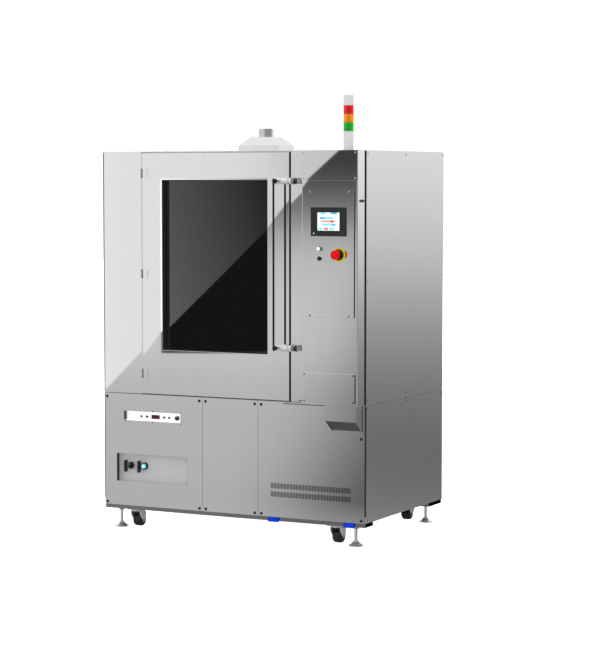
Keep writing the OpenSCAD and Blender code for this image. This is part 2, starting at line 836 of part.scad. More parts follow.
module hinge_leaves() {
    machine("silver") for (z = hinge_zs) {
        leaf(-1, z, [0, 2]);
        translate([hinge_x, hinge_y, z - hinge_h / 2 + 1]) cylinder(d = hinge_pin, h = hinge_h - 2, $fn = fine);
    }
}

// Door-side hinge leaves and the two bolt barrels
module door_fittings() {
    slot = [pull_x - arm_d / 2 - 1, pull_x + arm_d / 2 + bolt_travel + 1];
    foot = [barrel_x0 + 16, barrel_x0 + 60];
    machine("gainsboro") {
        for (z = hinge_zs) leaf(1, z, [1]);
        for (z = bolt_zs) difference() {
            union() {
                round_x([barrel_x0, barrel_x1], barrel_y, z, barrel_d);
                span(foot, [barrel_y + barrel_d / 2 - 4, 0], [z - 13, z + 13]);
            }
            round_x([barrel_x0 + 12, barrel_x1 + 1], barrel_y, z, bolt_d + 2 * fit);
            span(slot, [barrel_y - barrel_d, barrel_y], [z - arm_d / 2 - 1, z + arm_d / 2 + 1]);
        }
    }
}

// Pull rod with an arm to each bolt, all one piece
module latch_bar() {
    over = 12;
    machine([0.2, 0.2, 0.2]) {
        round_z(pull_x, pull_y, [bolt_zs[0] - over, bolt_zs[1] + over], rod_d);
        for (z = bolt_zs) {
            round_y(pull_x, [pull_y, barrel_y], z, arm_d);
            round_x([pull_x - arm_d / 2, barrel_x1 + 2], barrel_y, z, bolt_d);
        }
    }
}

module latch_keepers() {
    machine([0.12, 0.12, 0.12]) for (z = bolt_zs) difference() {
        union() {
            round_x([keeper_x0, keeper_x0 + keeper_len], barrel_y, z, keeper_d);
            span([keeper_x0 + 4, keeper_x0 + keeper_len], [barrel_y + keeper_d / 2 - 3, 0], [z - 11, z + 11]);
        }
        round_x([keeper_x0 - 1, keeper_x0 + keeper_len - keeper_end], barrel_y, z, bolt_d + 5);
    }
}

// ---- roof ----

module exhaust_hood() {
    skirt = 30;
    t = 2;
    top_w = hood_w * 0.53;
    top_d = hood_d * 0.66;
    machine("gainsboro") translate([0, hood_y, top_z]) {
        difference() {
            hood_block(hood_w, hood_d, top_w, top_d, skirt, hood_h);
            translate([0, 0, -t]) hood_block(hood_w - 2 * t, hood_d - 2 * t, top_w - 2 * t, top_d - 2 * t,
                                            skirt, hood_h);
            translate([0, 0, skirt]) cylinder(d = stub_d - 2 * t, h = hood_h, $fn = fine);
        }
        difference() {
            translate([0, 0, hood_h]) cylinder(d = stub_d, h = stub_len, $fn = fine);
            translate([0, 0, skirt]) cylinder(d = stub_d - 2 * t, h = hood_h + stub_len, $fn = fine);
        }
        // fan motor on a bar across the hood
        difference() {
            union() {
                span([-hood_w / 2 + t, hood_w / 2 - t], [-9, 9], [18, 22]);
                translate([0, 0, 12]) cylinder(d = 36, h = 8, $fn = fine);
            }
        }
        translate([0, 0, -8]) cylinder(d = axle_d, h = 22, $fn = fine);
    }
}

// Upright skirt with a four-sided frustum on it, made of two crossed profiles
module hood_block(w, d, top_w, top_d, skirt, h) {
    intersection() {
        translate([0, d, 0]) rotate([90, 0, 0]) linear_extrude(2 * d)
            polygon([[-w / 2, 0], [w / 2, 0], [w / 2, skirt], [top_w / 2, h], [-top_w / 2, h], [-w / 2, skirt]]);
        translate([-w, 0, 0]) rotate([90, 0, 90]) linear_extrude(2 * w)
            polygon([[-d / 2, 0], [d / 2, 0], [d / 2, skirt], [top_d / 2, h], [-top_d / 2, h], [-d / 2, skirt]]);
    }
}

module exhaust_rotor() {
    blades = 6;
    hub_d = 34;
    machine("darkslategray") translate([0, hood_y, top_z - 8]) difference() {
        union() {
            cylinder(d = hub_d, h = 18, $fn = fine);
            for (i = [0 : blades - 1]) rotate(i * 360 / blades)
                translate([hub_d / 2 - 3, 0, 9]) rotate([35, 0, 0])
                    translate([0, -11, -1]) cube([fan_d / 2 - hub_d / 2, 22, 2]);
        }
        translate([0, 0, -1]) cylinder(d = axle_d + 2 * pin_fit, h = 20, $fn = fine);
    }
}

module tower_body() {
    z1 = top_z + tower_stem_h;
    machine("white") {
        round_z(tower_x, tower_y, [top_z, top_z + 14], tower_d);
        round_z(tower_x, tower_y, [top_z + 13, z1], tower_d - 8);
        round_z(tower_x, tower_y, [z1 + 3 * lens_h, z1 + 3 * lens_h + cap_h], tower_d);
    }
}
module lens(level, c) {
    z = top_z + tower_stem_h + level * lens_h;
    machine(c) round_z(tower_x, tower_y, [z, z + lens_h], tower_d);
}
module tower_green() { lens(0, [0, 0.7, 0.25]); }
module tower_amber() { lens(1, [1, 0.55, 0]); }
module tower_red() { lens(2, [0.9, 0.05, 0]); }

// ---- fasteners and trim ----

module head_y(x, y, z) { round_y(x, [y - screw_out, y], z, screw_d); }

module panel_screws() {
    cover_in = 12;
    plate_in = [27, 8];
    side_ys = [20, body_d / 2, body_d - 12];
    head_cover = [top_z - head_cover_h + cover_in, top_z - cover_in];
    foot_cover = [col_z0 + 11 + 8, col_z0 + 11 + foot_cover_h - 8];
    mid_row = base_top + body_h / 3;
    rows = [lift + 15, seam_z - 15, seam_z + 25, mid_row, top_z - 18];
    machine("silver") {
        for (x = [col_x0 + cover_in, col_x1 - cover_in], z = head_cover) head_y(x, -column_out, z);
        for (x = [col_x0 + 14, col_x1 - 22], z = foot_cover) head_y(x, -column_out, z);
        for (x = [-1, 1], z = [plate_z0 + plate_in[1], plate_z1 - plate_in[1]])
            head_y(col_mid + x * (plate_w / 2 - plate_in[0]), plate_y, z);
        for (s = [-1, 1], y = side_ys, z = rows)
            if (y != side_ys[1] || z != rows[3])
                round_x(s > 0 ? [hx, hx + screw_out] : [-hx - screw_out, -hx], y, z, screw_d);
        for (x = [-side_x + 30, 0, side_x - 30], z = rows) round_y(x, [body_d, body_d + screw_out], z, screw_d);
        for (x = [-hx + 45, -hx / 2, 0, hx / 2, hx - 45], y = [14, body_d - 14])
            round_z(x, y, [top_z, top_z + screw_out], screw_d);
    }
}

// Slotted quarter-turn fasteners of the base panels
module quarter_turns() {
    in = 17;
    zs = [lift + 12, base_top - 17];
    d = 14;
    slot = 2;
    xs = [-front_x + in - 5, base_seam_1 - in, base_seam_1 + panel_gap + in, base_seam_2 - in,
          base_seam_2 + panel_gap + in, front_x - in];
    hidden = 5;
    places = [for (i = [0 : 5], j = [0, 1]) [xs[i], (i == hidden && j == 1) ? base_top - 158 : zs[j]]];
    machine("gainsboro") for (at = places) difference() {
        round_y(at[0], [-2, 0], at[1], d);
        translate([at[0], -2, at[1]]) rotate([0, 45, 0]) cube([slot, 2, d * 2], center = true);
    }
}

module rail_clips() {
    w = 56;
    h = beam_drop + 3;
    xs = [base_seam_2 + panel_gap + 56, front_x - 110];
    machine([0, 0.2, 0.85]) for (x = xs)
        span([x, x + w], [-8, skin], [lift - 1 - h, lift - 1]);
}

// ---- undercarriage ----

module undercarriage_plates() {
    nut_d = 30;
    machine("lightgray") {
        for (x = [-caster_x, caster_x], y = caster_ys) difference() {
            span([x - plate_size[0] / 2, x + plate_size[0] / 2], [y - plate_size[1] / 2, y + plate_size[1] / 2],
                 [beam_z - plate_size[2], beam_z]);
            round_z(x, y, [fork_top - 1, beam_z + 1], axle_d + 2 * pin_fit);
        }
        for (x = [-foot_x, foot_x], y = foot_ys) difference() {
            translate([x, y, beam_z - 12]) cylinder(d = nut_d, h = 12, $fn = 6);
            round_z(x, y, [beam_z - 14, beam_z + 1], stem_d + 2 * pin_fit);
        }
    }
}

// Quarter turn of a caster that sets its wheel towards the middle of the machine
function inward(y) = y < body_d / 2 ? -90 : 90;

// Swivel fork with its king pin and wheel axle
module caster_fork(x, y) {
    leg_y = wheel_w / 2 + 1.5;
    leg_x = [-trail - 20, 18];
    crown = [fork_top - 7, fork_top];
    outline = [[leg_x[1], crown[0]], [leg_x[0] + 10, crown[0]], [leg_x[0], crown[0] - 9],
               [leg_x[0], axle_z + 11], [-trail - 11, axle_z - 7], [-trail - 5, axle_z - 10],
               [-trail + 5, axle_z - 10], [-trail + 11, axle_z - 4], [leg_x[1], crown[0] - 16]];
    machine("silver") translate([x, y, 0]) rotate([0, 0, inward(y)]) {
        round_z(0, 0, crown, 46);
        span([leg_x[0] + 10, leg_x[1]], [-leg_y - fork_t, leg_y + fork_t], [crown[0], crown[0] + 3]);
        for (s = [-1, 1]) scale([1, s, 1]) translate([0, leg_y + fork_t, 0]) rotate([90, 0, 0])
            linear_extrude(fork_t) polygon(outline);
        round_y(-trail, [-leg_y - fork_t - 2, leg_y + fork_t + 2], axle_z, axle_d);
        round_z(0, 0, [crown[1] - 1, beam_z - fit], axle_d);
    }
}

module caster_wheel(x, y) {
    machine([0.15, 0.15, 0.15]) translate([x, y, 0]) rotate([0, 0, inward(y)])
        translate([-trail, 0, axle_z]) rotate([90, 0, 0]) difference() {
        union() {
            cylinder(d = wheel_d, h = wheel_w - 4, center = true, $fn = fine);
            cylinder(d = wheel_d - 5, h = wheel_w, center = true, $fn = fine);
        }
        cylinder(d = axle_d + 2 * pin_fit, h = wheel_w + 2, center = true, $fn = fine);
    }
}

module foot(x, y) {
    pad_h = 5;
    cone_h = 20;
    machine("silver") translate([x, y, 0]) {
        rotate_extrude($fn = fine) polygon([[0, 0], [foot_d / 2, 0], [foot_d / 2, pad_h], [foot_d / 2 - 8, pad_h + 4],
            [stem_d / 2 + 5, pad_h + cone_h - 3], [stem_d / 2 + 5, pad_h + cone_h], [0, pad_h + cone_h]]);
        cylinder(d = stem_d, h = beam_z + 16, $fn = fine);
    }
}

module caster_fork_fl() { caster_fork(-caster_x, caster_ys[0]); }
module caster_fork_fr() { caster_fork(caster_x, caster_ys[0]); }
module caster_fork_rl() { caster_fork(-caster_x, caster_ys[1]); }
module caster_fork_rr() { caster_fork(caster_x, caster_ys[1]); }
module caster_wheel_fl() { caster_wheel(-caster_x, caster_ys[0]); }
module caster_wheel_fr() { caster_wheel(caster_x, caster_ys[0]); }
module caster_wheel_rl() { caster_wheel(-caster_x, caster_ys[1]); }
module caster_wheel_rr() { caster_wheel(caster_x, caster_ys[1]); }
module foot_fl() { foot(-foot_x, foot_ys[0]); }
module foot_fr() { foot(foot_x, foot_ys[0]); }
module foot_rl() { foot(-foot_x, foot_ys[1]); }
module foot_rr() { foot(foot_x, foot_ys[1]); }

base_beams();
frame_tubes();
decks();
roof_panel();
rear_panels();
side_panels();
front_frame();
base_panels();
chamber_liner();
column_housing();
column_covers();
control_plate();
column_skirt();
panel_screws();
quarter_turns();
rail_clips();
exhaust_hood();
exhaust_rotor();
tower_body();
tower_green();
tower_amber();
tower_red();
hmi_bezel();
display_glass();
estop_ring();
estop_button();
start_button();
reset_button();
button_bezels();
controller_panel();
controller_knob();
switch_tray();
main_switch();
power_button();
door_shell();
door_glass();
door_fittings();
hinge_leaves();
latch_bar();
latch_keepers();
resin_vat();
build_platform();
linear_rails();
recoater();
scan_head();
electrics();
undercarriage_plates();
caster_fork_fl();
caster_fork_fr();
caster_fork_rl();
caster_fork_rr();
caster_wheel_fl();
caster_wheel_fr();
caster_wheel_rl();
caster_wheel_rr();
foot_fl();
foot_fr();
foot_rl();
foot_rr();
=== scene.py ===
"""Looks of the floor-standing vat resin printer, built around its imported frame."""
import math

import bmesh
import bpy
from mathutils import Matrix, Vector


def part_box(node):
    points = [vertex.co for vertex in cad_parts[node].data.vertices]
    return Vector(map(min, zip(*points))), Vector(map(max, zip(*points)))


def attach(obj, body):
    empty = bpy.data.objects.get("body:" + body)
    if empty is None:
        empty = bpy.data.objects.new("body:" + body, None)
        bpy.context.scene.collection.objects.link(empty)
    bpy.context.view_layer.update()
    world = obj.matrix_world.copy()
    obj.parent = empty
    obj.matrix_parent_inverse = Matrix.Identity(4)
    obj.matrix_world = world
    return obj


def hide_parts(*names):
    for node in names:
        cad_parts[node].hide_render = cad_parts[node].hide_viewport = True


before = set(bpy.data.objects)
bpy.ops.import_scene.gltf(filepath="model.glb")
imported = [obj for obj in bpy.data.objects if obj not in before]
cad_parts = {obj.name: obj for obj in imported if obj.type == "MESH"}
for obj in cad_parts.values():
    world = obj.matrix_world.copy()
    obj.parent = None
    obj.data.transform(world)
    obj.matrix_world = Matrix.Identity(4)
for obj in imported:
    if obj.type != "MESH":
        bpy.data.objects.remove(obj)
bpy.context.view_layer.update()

MM = 0.001
# The machine's own zero: x in its middle, y on the door plane, z on the floor
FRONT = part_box("door_shell")[0].y / MM
# Faces that meet at less than this are shaded as one curve; edges sharper than SHARP are folds
SMOOTH = math.radians(32)
SHARP = 0.6
# Points of a mesh that lie closer than this are one point, in metres
SAME_CAD_POINT = 0.000005
SAME_POINT = 0.000002


def at(x, y, z):
    """A point of the machine, given in millimetres, in the shared frame."""
    return Vector((x, FRONT + y, z)) * MM


def extent(node):
    """A CAD node's lowest and highest corners as machine millimetres."""
    low, high = (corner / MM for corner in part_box(node))
    return (low.x, low.y - FRONT, low.z), (high.x, high.y - FRONT, high.z)


# ---------------------------------------------------------------- camera

# Focal length and height of the frame in pixels, sensor in mm, place and reach in metres, turns in radians
FOCUS = 2165.58
FRAME_TALL = 651
SENSOR = 36.0
CAMERA_PLACE = (5.10083, -9.58313, 1.75303)
YAW, PITCH = -0.4744, 0.0679
REACH = 200


def set_camera():
    """A camera to the right of the machine, a little below its roof and looking slightly down."""
    data = bpy.data.cameras.new("camera")
    data.sensor_fit = "AUTO"
    data.sensor_width = SENSOR
    data.lens = FOCUS / FRAME_TALL * SENSOR
    data.clip_end = REACH
    camera = bpy.data.objects.new("camera", data)
    bpy.context.scene.collection.objects.link(camera)
    camera.location = CAMERA_PLACE
    ahead = Vector((math.sin(YAW) * math.cos(PITCH), math.cos(YAW) * math.cos(PITCH), -math.sin(PITCH)))
    camera.rotation_euler = ahead.to_track_quat("-Z", "Y").to_euler()
    bpy.context.scene.camera = camera


set_camera()

# ---------------------------------------------------------------- materials


def linear(code, alpha=1.0):
    """An sRGB hex colour as linear red, green, blue and alpha."""
    parts = [int(code[i:i + 2], 16) / 255 for i in (0, 2, 4)]
    return [p / 12.92 if p <= 0.04045 else ((p + 0.055) / 1.055) ** 2.4 for p in parts] + [alpha]


def add(tree, kind, values=None, links=None):
    """Add one shader node, set its properties and sockets, and link what feeds it."""
    new = tree.nodes.new(kind)
    for key, value in (values or {}).items():
        if isinstance(key, str) and key[0].islower():
            setattr(new, key, value)
        else:
            new.inputs[key].default_value = value
    for key, source in (links or {}).items():
        tree.links.new(source, new.inputs[key])
    return new


def blank(name):
    """An empty node material with its output."""
    finish = bpy.data.materials.new(name)
    finish.use_nodes = True
    finish.node_tree.nodes.clear()
    return finish, finish.node_tree, finish.node_tree.nodes.new("ShaderNodeOutputMaterial")


def surface(name, light, dark, rough, metal=0.0, grain=40.0, stretch=(1, 1, 1), spread=0.5, bump=0.0,
            relief=0.1, swell=0.0, swell_size=500.0, rough_spread=0.04, sockets=None):
    """A worked surface: two tones mixed by a grain of a given size, with its gloss and relief.

    grain and swell_size are real sizes in mm; relief and swell are the heights of the bumps in mm.
    """
    finish, tree, output = blank(name)
    place = add(tree, "ShaderNodeTexCoord")
    fit = add(tree, "ShaderNodeMapping", {"Scale": stretch}, {"Vector": place.outputs["Object"]})
    noise = add(tree, "ShaderNodeTexNoise", {"Scale": 1000 / grain, "Detail": 5.0, "Roughness": 0.6},
                {"Vector": fit.outputs["Vector"]})
    tone = add(tree, "ShaderNodeValToRGB", {}, {"Fac": noise.outputs["Fac"]})
    tone.color_ramp.elements[0].position = 0.5 - spread / 2
    tone.color_ramp.elements[0].color = linear(dark)
    tone.color_ramp.elements[1].position = 0.5 + spread / 2
    tone.color_ramp.elements[1].color = linear(light)
    gloss = add(tree, "ShaderNodeMapRange", {"To Min": max(rough - rough_spread, 0.0),
                                             "To Max": rough + rough_spread},
                {"Value": noise.outputs["Fac"]})
    body = add(tree, "ShaderNodeBsdfPrincipled", {"Metallic": metal},
               {"Base Color": tone.outputs["Color"], "Roughness": gloss.outputs["Result"]})
    for key, value in (sockets or {}).items():
        body.inputs[key].default_value = value
    normal = None
    if bump:
        normal = add(tree, "ShaderNodeBump", {"Strength": bump, "Distance": relief * MM},
                     {"Height": noise.outputs["Fac"]})
    if swell:
        wide = add(tree, "ShaderNodeTexNoise", {"Scale": 1000 / swell_size, "Detail": 1.0},
                   {"Vector": place.outputs["Object"]})
        wave = add(tree, "ShaderNodeBump", {"Strength": 1.0, "Distance": swell * MM},
                   {"Height": wide.outputs["Fac"]})
        if normal:
            tree.links.new(normal.outputs["Normal"], wave.inputs["Normal"])
        normal = wave
    if normal:
        tree.links.new(normal.outputs["Normal"], body.inputs["Normal"])
    tree.links.new(body.outputs["BSDF"], output.inputs["Surface"])
    return finish


# Polished 304 stainless sheet: mirrors the room, with the slight swell of thin sheet between its folds
MIRROR_STEEL = surface("mirror_polished_stainless", "E7E8E9", "E4E5E6", 0.016, metal=1.0, grain=60,
                       stretch=(1, 1, 0.25), rough_spread=0.005, swell=0.06, swell_size=700)
# The same sheet with a fine upright grain on the flanks, so what it mirrors is soft
SATIN_STEEL = surface("fine_brushed_stainless", "E0E1E2", "DCDDDE", 0.14, metal=1.0, grain=9,
                      stretch=(1, 1, 0.05), rough_spread=0.03, bump=0.08, relief=0.03, swell=0.1)
# Drawn and deburred stainless of small machined parts: a bright, slightly soft shine
BRIGHT_STEEL = surface("machined_stainless", "DEDFE0", "BFC2C4", 0.16, metal=1.0, grain=3)
# Bright chrome plate: nearly colourless and sharp
CHROME = surface("bright_chrome_plate", "F1F2F3", "E6E8EA", 0.04, metal=1.0, grain=8, rough_spread=0.015)
# Satin chrome over a brushed barrel: nearly white from every side
SATIN_CHROME = surface("satin_chrome_plate", "F8F8F9", "EEEFF0", 0.28, metal=0.4, grain=5)
# Passivated zinc of the forks: pale, a little warm, with soft broad highlights
PALE_ZINC = surface("passivated_zinc_plate", "E8E3DA", "C2BCB2", 0.22, metal=0.65, grain=6, bump=0.1,
                    relief=0.05)
# Bright nickel of the levelling feet: smooth and pale, with small clear highlights
NICKEL = surface("bright_nickel_plate", "F6F5F2", "E6E4E0", 0.18, metal=0.8, grain=8)
# Bead-blasted tray: an even grey that mirrors nothing, with a faint painted glow though it is no lamp
BLASTED_STEEL_PAINTED_GLOW = surface("bead_blasted_stainless_painted_glow", "CFD0D1", "C8C9CA", 0.6, metal=0.1, grain=3,
                        sockets={"Emission Color": linear("FFFFFF"), "Emission Strength": 0.02})
# Rolled beams under a thin dark lacquer: the steel below still mirrors the room dimly
LACQUERED_STEEL = surface("dark_lacquered_steel", "8E8F90", "848586", 0.16, metal=1.0, grain=12)
# Woven grille of the intake, dark between pale wires
GRILLE = surface("woven_intake_grille", "6E6F70", "3A3B3C", 0.45, metal=0.4, grain=2.2, spread=0.3)
# Blackened steel of screw heads: dark, with a dull sheen on the dome; on the panel screws it is partly
# painted shade
BLACK_OXIDE = surface("black_oxide_steel", "2A2B2C", "1A1B1C", 0.4, metal=0.3, grain=3)
# White enamelled front of the controller strip, with a painted glow that lifts it out of the shade of its
# recess
WHITE_ENAMEL_PAINTED_GLOW = surface("white_enamel_with_painted_glow", "F7F8F9", "F2F3F4", 0.3, grain=5,
                       sockets={"Emission Color": linear("FFFFFF"), "Emission Strength": 0.34})
# Blue-white zinc plate on pressed steel: patchy and a little dull
ZINC = surface("bright_zinc_plate", "CBD0D4", "9EA5AB", 0.3, metal=1.0, grain=7, bump=0.2, relief=0.08)
# Galvanised square tube: coarse pale spangle
GALVANISED = surface("galvanised_tube", "B9BDC0", "8E9498", 0.42, metal=0.9, grain=14, spread=0.3)
# Dark grey powder coat of decks and scan head: a fine orange peel that keeps highlights broad
DARK_COAT = surface("dark_powder_coat", "3C3E40", "2E3032", 0.48, grain=2.5, bump=0.35, relief=0.12)
# Black moulded ABS with a fine spark-eroded texture
BLACK_ABS = surface("black_textured_abs", "1C1D1E", "111213", 0.42, grain=1.2, bump=0.3, relief=0.05)
# Black polished acetal of knobs and caps: small sharp highlights
BLACK_GLOSS = surface("black_polished_acetal", "0E0F10", "070808", 0.18, grain=5, rough_spread=0.05)
# White ABS housings: faintly warm and satin
WHITE_ABS = surface("white_satin_abs", "ECEDEE", "E0E2E3", 0.38, grain=4, bump=0.1, relief=0.03)
# Moulded blue polyamide of the clips: a strong even blue that is only a little glossy
BLUE_PLASTIC = surface("blue_polyamide", "0046F0", "003ACC", 0.35, grain=3, bump=0.15, relief=0.04,
                       sockets={"Specular IOR Level": 0.15})
# Signal red and yellow mouldings of the emergency stop: full colour with a faint shine
RED_PLASTIC = surface("signal_red_polycarbonate", "FA0A0A", "EC0606", 0.3, grain=6,
                      sockets={"Specular IOR Level": 0.12})
YELLOW_PLASTIC = surface("signal_yellow_abs", "F4E600", "E6D600", 0.4, grain=5,
                         sockets={"Specular IOR Level": 0.25})
# Hard black polyurethane tyre with a dusty tread
TYRE = surface("black_polyurethane_tyre", "242424", "141414", 0.55, grain=5, bump=0.3, relief=0.1)
# Foam rubber seals and gaskets: a soft black that shines nowhere
RUBBER = surface("black_rubber_seal", "191A1A", "0D0D0E", 0.6, grain=1.5, bump=0.4, relief=0.08)
# Smoked, coated safety glass: nearly black, with a clean mirror on its face
SMOKED_GLASS = surface("smoked_safety_glass", "1A1C1C", "151717", 0.01, grain=90, rough_spread=0.004,
                       sockets={"IOR": 1.6, "Transmission Weight": 0.85})
# Drives, supplies and lamp sockets: grey painted cases with an even satin
GREY_CASE = surface("grey_enamel_case", "5A6066", "4C5257", 0.45, grain=3, bump=0.2, relief=0.05)

NODE_FINISH = {
    "base_beams": LACQUERED_STEEL, "frame_tubes": GALVANISED, "decks": DARK_COAT,
    "roof_panel": MIRROR_STEEL, "rear_panels": SATIN_STEEL, "side_panels": SATIN_STEEL,
    "front_frame": MIRROR_STEEL, "base_panels": MIRROR_STEEL, "chamber_liner": SATIN_STEEL,
    "column_housing": MIRROR_STEEL, "column_covers": MIRROR_STEEL, "control_plate": MIRROR_STEEL,
    "column_skirt": MIRROR_STEEL, "panel_screws": BRIGHT_STEEL, "quarter_turns": BLACK_OXIDE,
    "rail_clips": BLUE_PLASTIC, "exhaust_hood": MIRROR_STEEL, "exhaust_rotor": GREY_CASE,
    "tower_body": WHITE_ABS, "tower_green": WHITE_ABS, "tower_amber": WHITE_ABS, "tower_red": WHITE_ABS,
    "hmi_bezel": BLACK_ABS, "display_glass": WHITE_ABS, "estop_ring": YELLOW_PLASTIC,
    "estop_button": RED_PLASTIC, "start_button": WHITE_ABS, "reset_button": BLACK_GLOSS,
    "button_bezels": BLACK_ABS, "controller_panel": WHITE_ENAMEL_PAINTED_GLOW, "controller_knob": BLACK_ABS,
    "switch_tray": BLASTED_STEEL_PAINTED_GLOW, "main_switch": BLACK_GLOSS, "power_button": WHITE_ABS,
    "door_shell": MIRROR_STEEL, "door_glass": SMOKED_GLASS, "door_fittings": SATIN_CHROME,
    "hinge_leaves": MIRROR_STEEL, "latch_bar": BLACK_GLOSS, "latch_keepers": BLACK_ABS,
    "resin_vat": BRIGHT_STEEL, "build_platform": BRIGHT_STEEL, "linear_rails": GALVANISED,
    "recoater": BRIGHT_STEEL, "scan_head": DARK_COAT, "electrics": GREY_CASE,
    "undercarriage_plates": ZINC,
}
for node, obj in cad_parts.items():
    finish = NODE_FINISH.get(node)
    if finish is None:
        finish = PALE_ZINC
        for start, other in (("caster_wheel", TYRE), ("foot", NICKEL)):
            if node.startswith(start):
                finish = other
    obj.data.materials.clear()
    obj.data.materials.append(finish)


def lit(name, code, strength, rough=0.25, through=0.0):
    """A lamp cover or screen that glows in its own colour under a smooth clear skin."""
    return surface(name, code, code, rough, grain=4, rough_spread=0.03,
                   sockets={"Emission Color": linear(code), "Emission Strength": strength,
                            "Transmission Weight": through})


# Ribbed polycarbonate lenses of the tower: deep colour that the light seems to sit inside
RED_LENS = lit("red_polycarbonate_lens", "F0201A", 0.12, 0.12, 0.75)
AMBER_LENS = lit("amber_polycarbonate_lens", "FFB41E", 0.12, 0.12, 0.75)
GREEN_LENS = lit("green_polycarbonate_lens", "12CE3C", 0.1, 0.12, 0.75)
# Lit covers and dots of the controls: each glows faintly in its own colour
PALE_GLOW = lit("pale_green_lit_cover", "E4F6D2", 0.5)
GREEN_RIM = lit("green_lens_side", "4E8A34", 0.05)
WHITE_GLOW = lit("white_lit_cover", "F4F8FA", 0.6)
CYAN_GLOW = lit("cyan_lit_ring", "58C8DC", 0.4)
GREEN_GLOW = lit("green_indicator", "1E7A28", 0.3)
RED_GLOW = lit("dim_red_meter_digits", "5A0A08", 0.12)
# The screen: white light behind glass, with plain tiles in pale blue, cyan and coral
SCREEN_WHITE = lit("white_screen_under_glass", "F2F6FB", 0.55, 0.12)
SCREEN_BLUE = lit("blue_tile", "58B4F2", 0.45, 0.12)
SCREEN_CYAN = lit("cyan_tile", "7CD8F6", 0.45, 0.12)
SCREEN_PINK = lit("pink_tile", "FA9A98", 0.45, 0.12)
SCREEN_RED = lit("red_tile", "F04A4A", 0.45, 0.12)
SCREEN_CORAL = lit("coral_tile", "FF8468", 0.45, 0.12)
SCREEN_TILES = [
    (0.14, 0.34, 0.86, 0.96, SCREEN_CYAN), (0.60, 0.88, 0.86, 0.97, SCREEN_BLUE),
    (0.10, 0.34, 0.61, 0.73, SCREEN_BLUE), (0.34, 0.70, 0.61, 0.73, SCREEN_CYAN),
    (0.15, 0.60, 0.44, 0.56, SCREEN_PINK), (0.60, 0.74, 0.43, 0.57, SCREEN_RED),
    (0.20, 0.66, 0.28, 0.39, SCREEN_CYAN), (0.66, 0.82, 0.26, 0.39, SCREEN_BLUE),
    (0.03, 0.24, 0.04, 0.16, SCREEN_CYAN), (0.29, 0.49, 0.04, 0.17, SCREEN_CORAL),
    (0.52, 0.76, 0.04, 0.16, SCREEN_CYAN),
]

# ---------------------------------------------------------------- ways of working

# Each axis: its index, and the turn that sets a flat circle square to it
AXIS = {"x": (0, (0, math.pi / 2, 0)), "y": (1, (-math.pi / 2, 0, 0)), "z": (2, (0, 0, 0))}


def clear():
    """Leave edit mode and let go of everything."""
    if bpy.context.object and bpy.context.object.mode != "OBJECT":
        bpy.ops.object.mode_set(mode="OBJECT")
    bpy.ops.object.select_all(action="DESELECT")


def hold(*pieces):
    """Select these pieces alone, the first one active."""
    clear()
    for piece in pieces:
        piece.select_set(True)
    bpy.context.view_layer.objects.active = pieces[0]
    return pieces[0]


def edit(piece, kind="FACE"):
    """Open a piece for editing with nothing selected."""
    hold(piece)
    bpy.ops.object.mode_set(mode="EDIT")
    bpy.ops.mesh.select_mode(type=kind)
    bpy.ops.mesh.select_all(action="DESELECT")


def close():
    """Turn every face outwards and leave the piece with its place in its mesh."""
    bpy.ops.mesh.select_all(action="SELECT")
    bpy.ops.mesh.normals_make_consistent(inside=False)
    bpy.ops.object.mode_set(mode="OBJECT")
    bpy.ops.object.transform_apply(location=True, rotation=True, scale=True)
    return bpy.context.object


def pick(test):
    """Select the open piece's faces that pass the test of middle point (machine mm) and normal."""
    mesh = bmesh.from_edit_mesh(bpy.context.object.data)
    for face in mesh.faces:
        middle = bpy.context.object.matrix_world @ face.calc_center_median() / MM
        middle.y -= FRONT
        face.select_set(bool(test(middle, face.normal)))
    mesh.select_flush(True)
    bmesh.update_edit_mesh(bpy.context.object.data)


def pick_edges(test):
    """Select the open piece's sharp edges that pass the test of middle point (machine mm) and direction."""
    mesh = bmesh.from_edit_mesh(bpy.context.object.data)
    for edge in mesh.edges:
        middle = (edge.verts[0].co + edge.verts[1].co) / 2 / MM
        middle.y -= FRONT
        way = (edge.verts[1].co - edge.verts[0].co).normalized()
        sharp = len(edge.link_faces) == 2 and edge.calc_face_angle() > SHARP
        edge.select_set(bool(sharp and test(middle, way)))
    bmesh.update_edit_mesh(bpy.context.object.data)


def folded(piece, radius, test, steps=5):
    """Round the picked edges as sheet steel is bent."""
    edit(piece, "EDGE")
    pick_edges(test)
    bpy.ops.mesh.bevel(offset=radius * MM, segments=steps, affect="EDGES")
    return close()


def copy_of(node):
    """A CAD node's solids as one new mesh, its triangles merged back to flat faces."""
    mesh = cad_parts[node].data.copy()
    mesh.materials.clear()
    piece = bpy.data.objects.new(node + "_copy", mesh)
    bpy.context.scene.collection.objects.link(piece)
    edit(piece)
    bpy.ops.mesh.select_all(action="SELECT")
    bpy.ops.mesh.remove_doubles(threshold=SAME_CAD_POINT)
    bpy.ops.mesh.dissolve_limited(angle_limit=math.radians(1))
    return close()


def block(x, y, z):
    """A box between two values on each axis, in machine millimetres."""
    clear()
    bpy.ops.mesh.primitive_cube_add(size=1, location=at(sum(x) / 2, sum(y) / 2, sum(z) / 2))
    bpy.ops.transform.resize(value=[(side[1] - side[0]) * MM for side in (x, y, z)])
    bpy.ops.object.transform_apply(location=True, rotation=True, scale=True)
    return bpy.context.object


def box_of(low, high):
    """A box from its lowest corner to its highest one."""
    return block((low.x, high.x), (low.y, high.y), (low.z, high.z))


def rounded(piece, width, steps=2, limit=30):
    """Bevel every edge sharper than the limit."""
    hold(piece)
    bevel = piece.modifiers.new("edges", "BEVEL")
    bevel.width = width * MM
    bevel.segments = steps
    bevel.limit_method = "ANGLE"
    bevel.angle_limit = math.radians(limit)
    bpy.ops.object.modifier_apply(modifier="edges")
    return piece


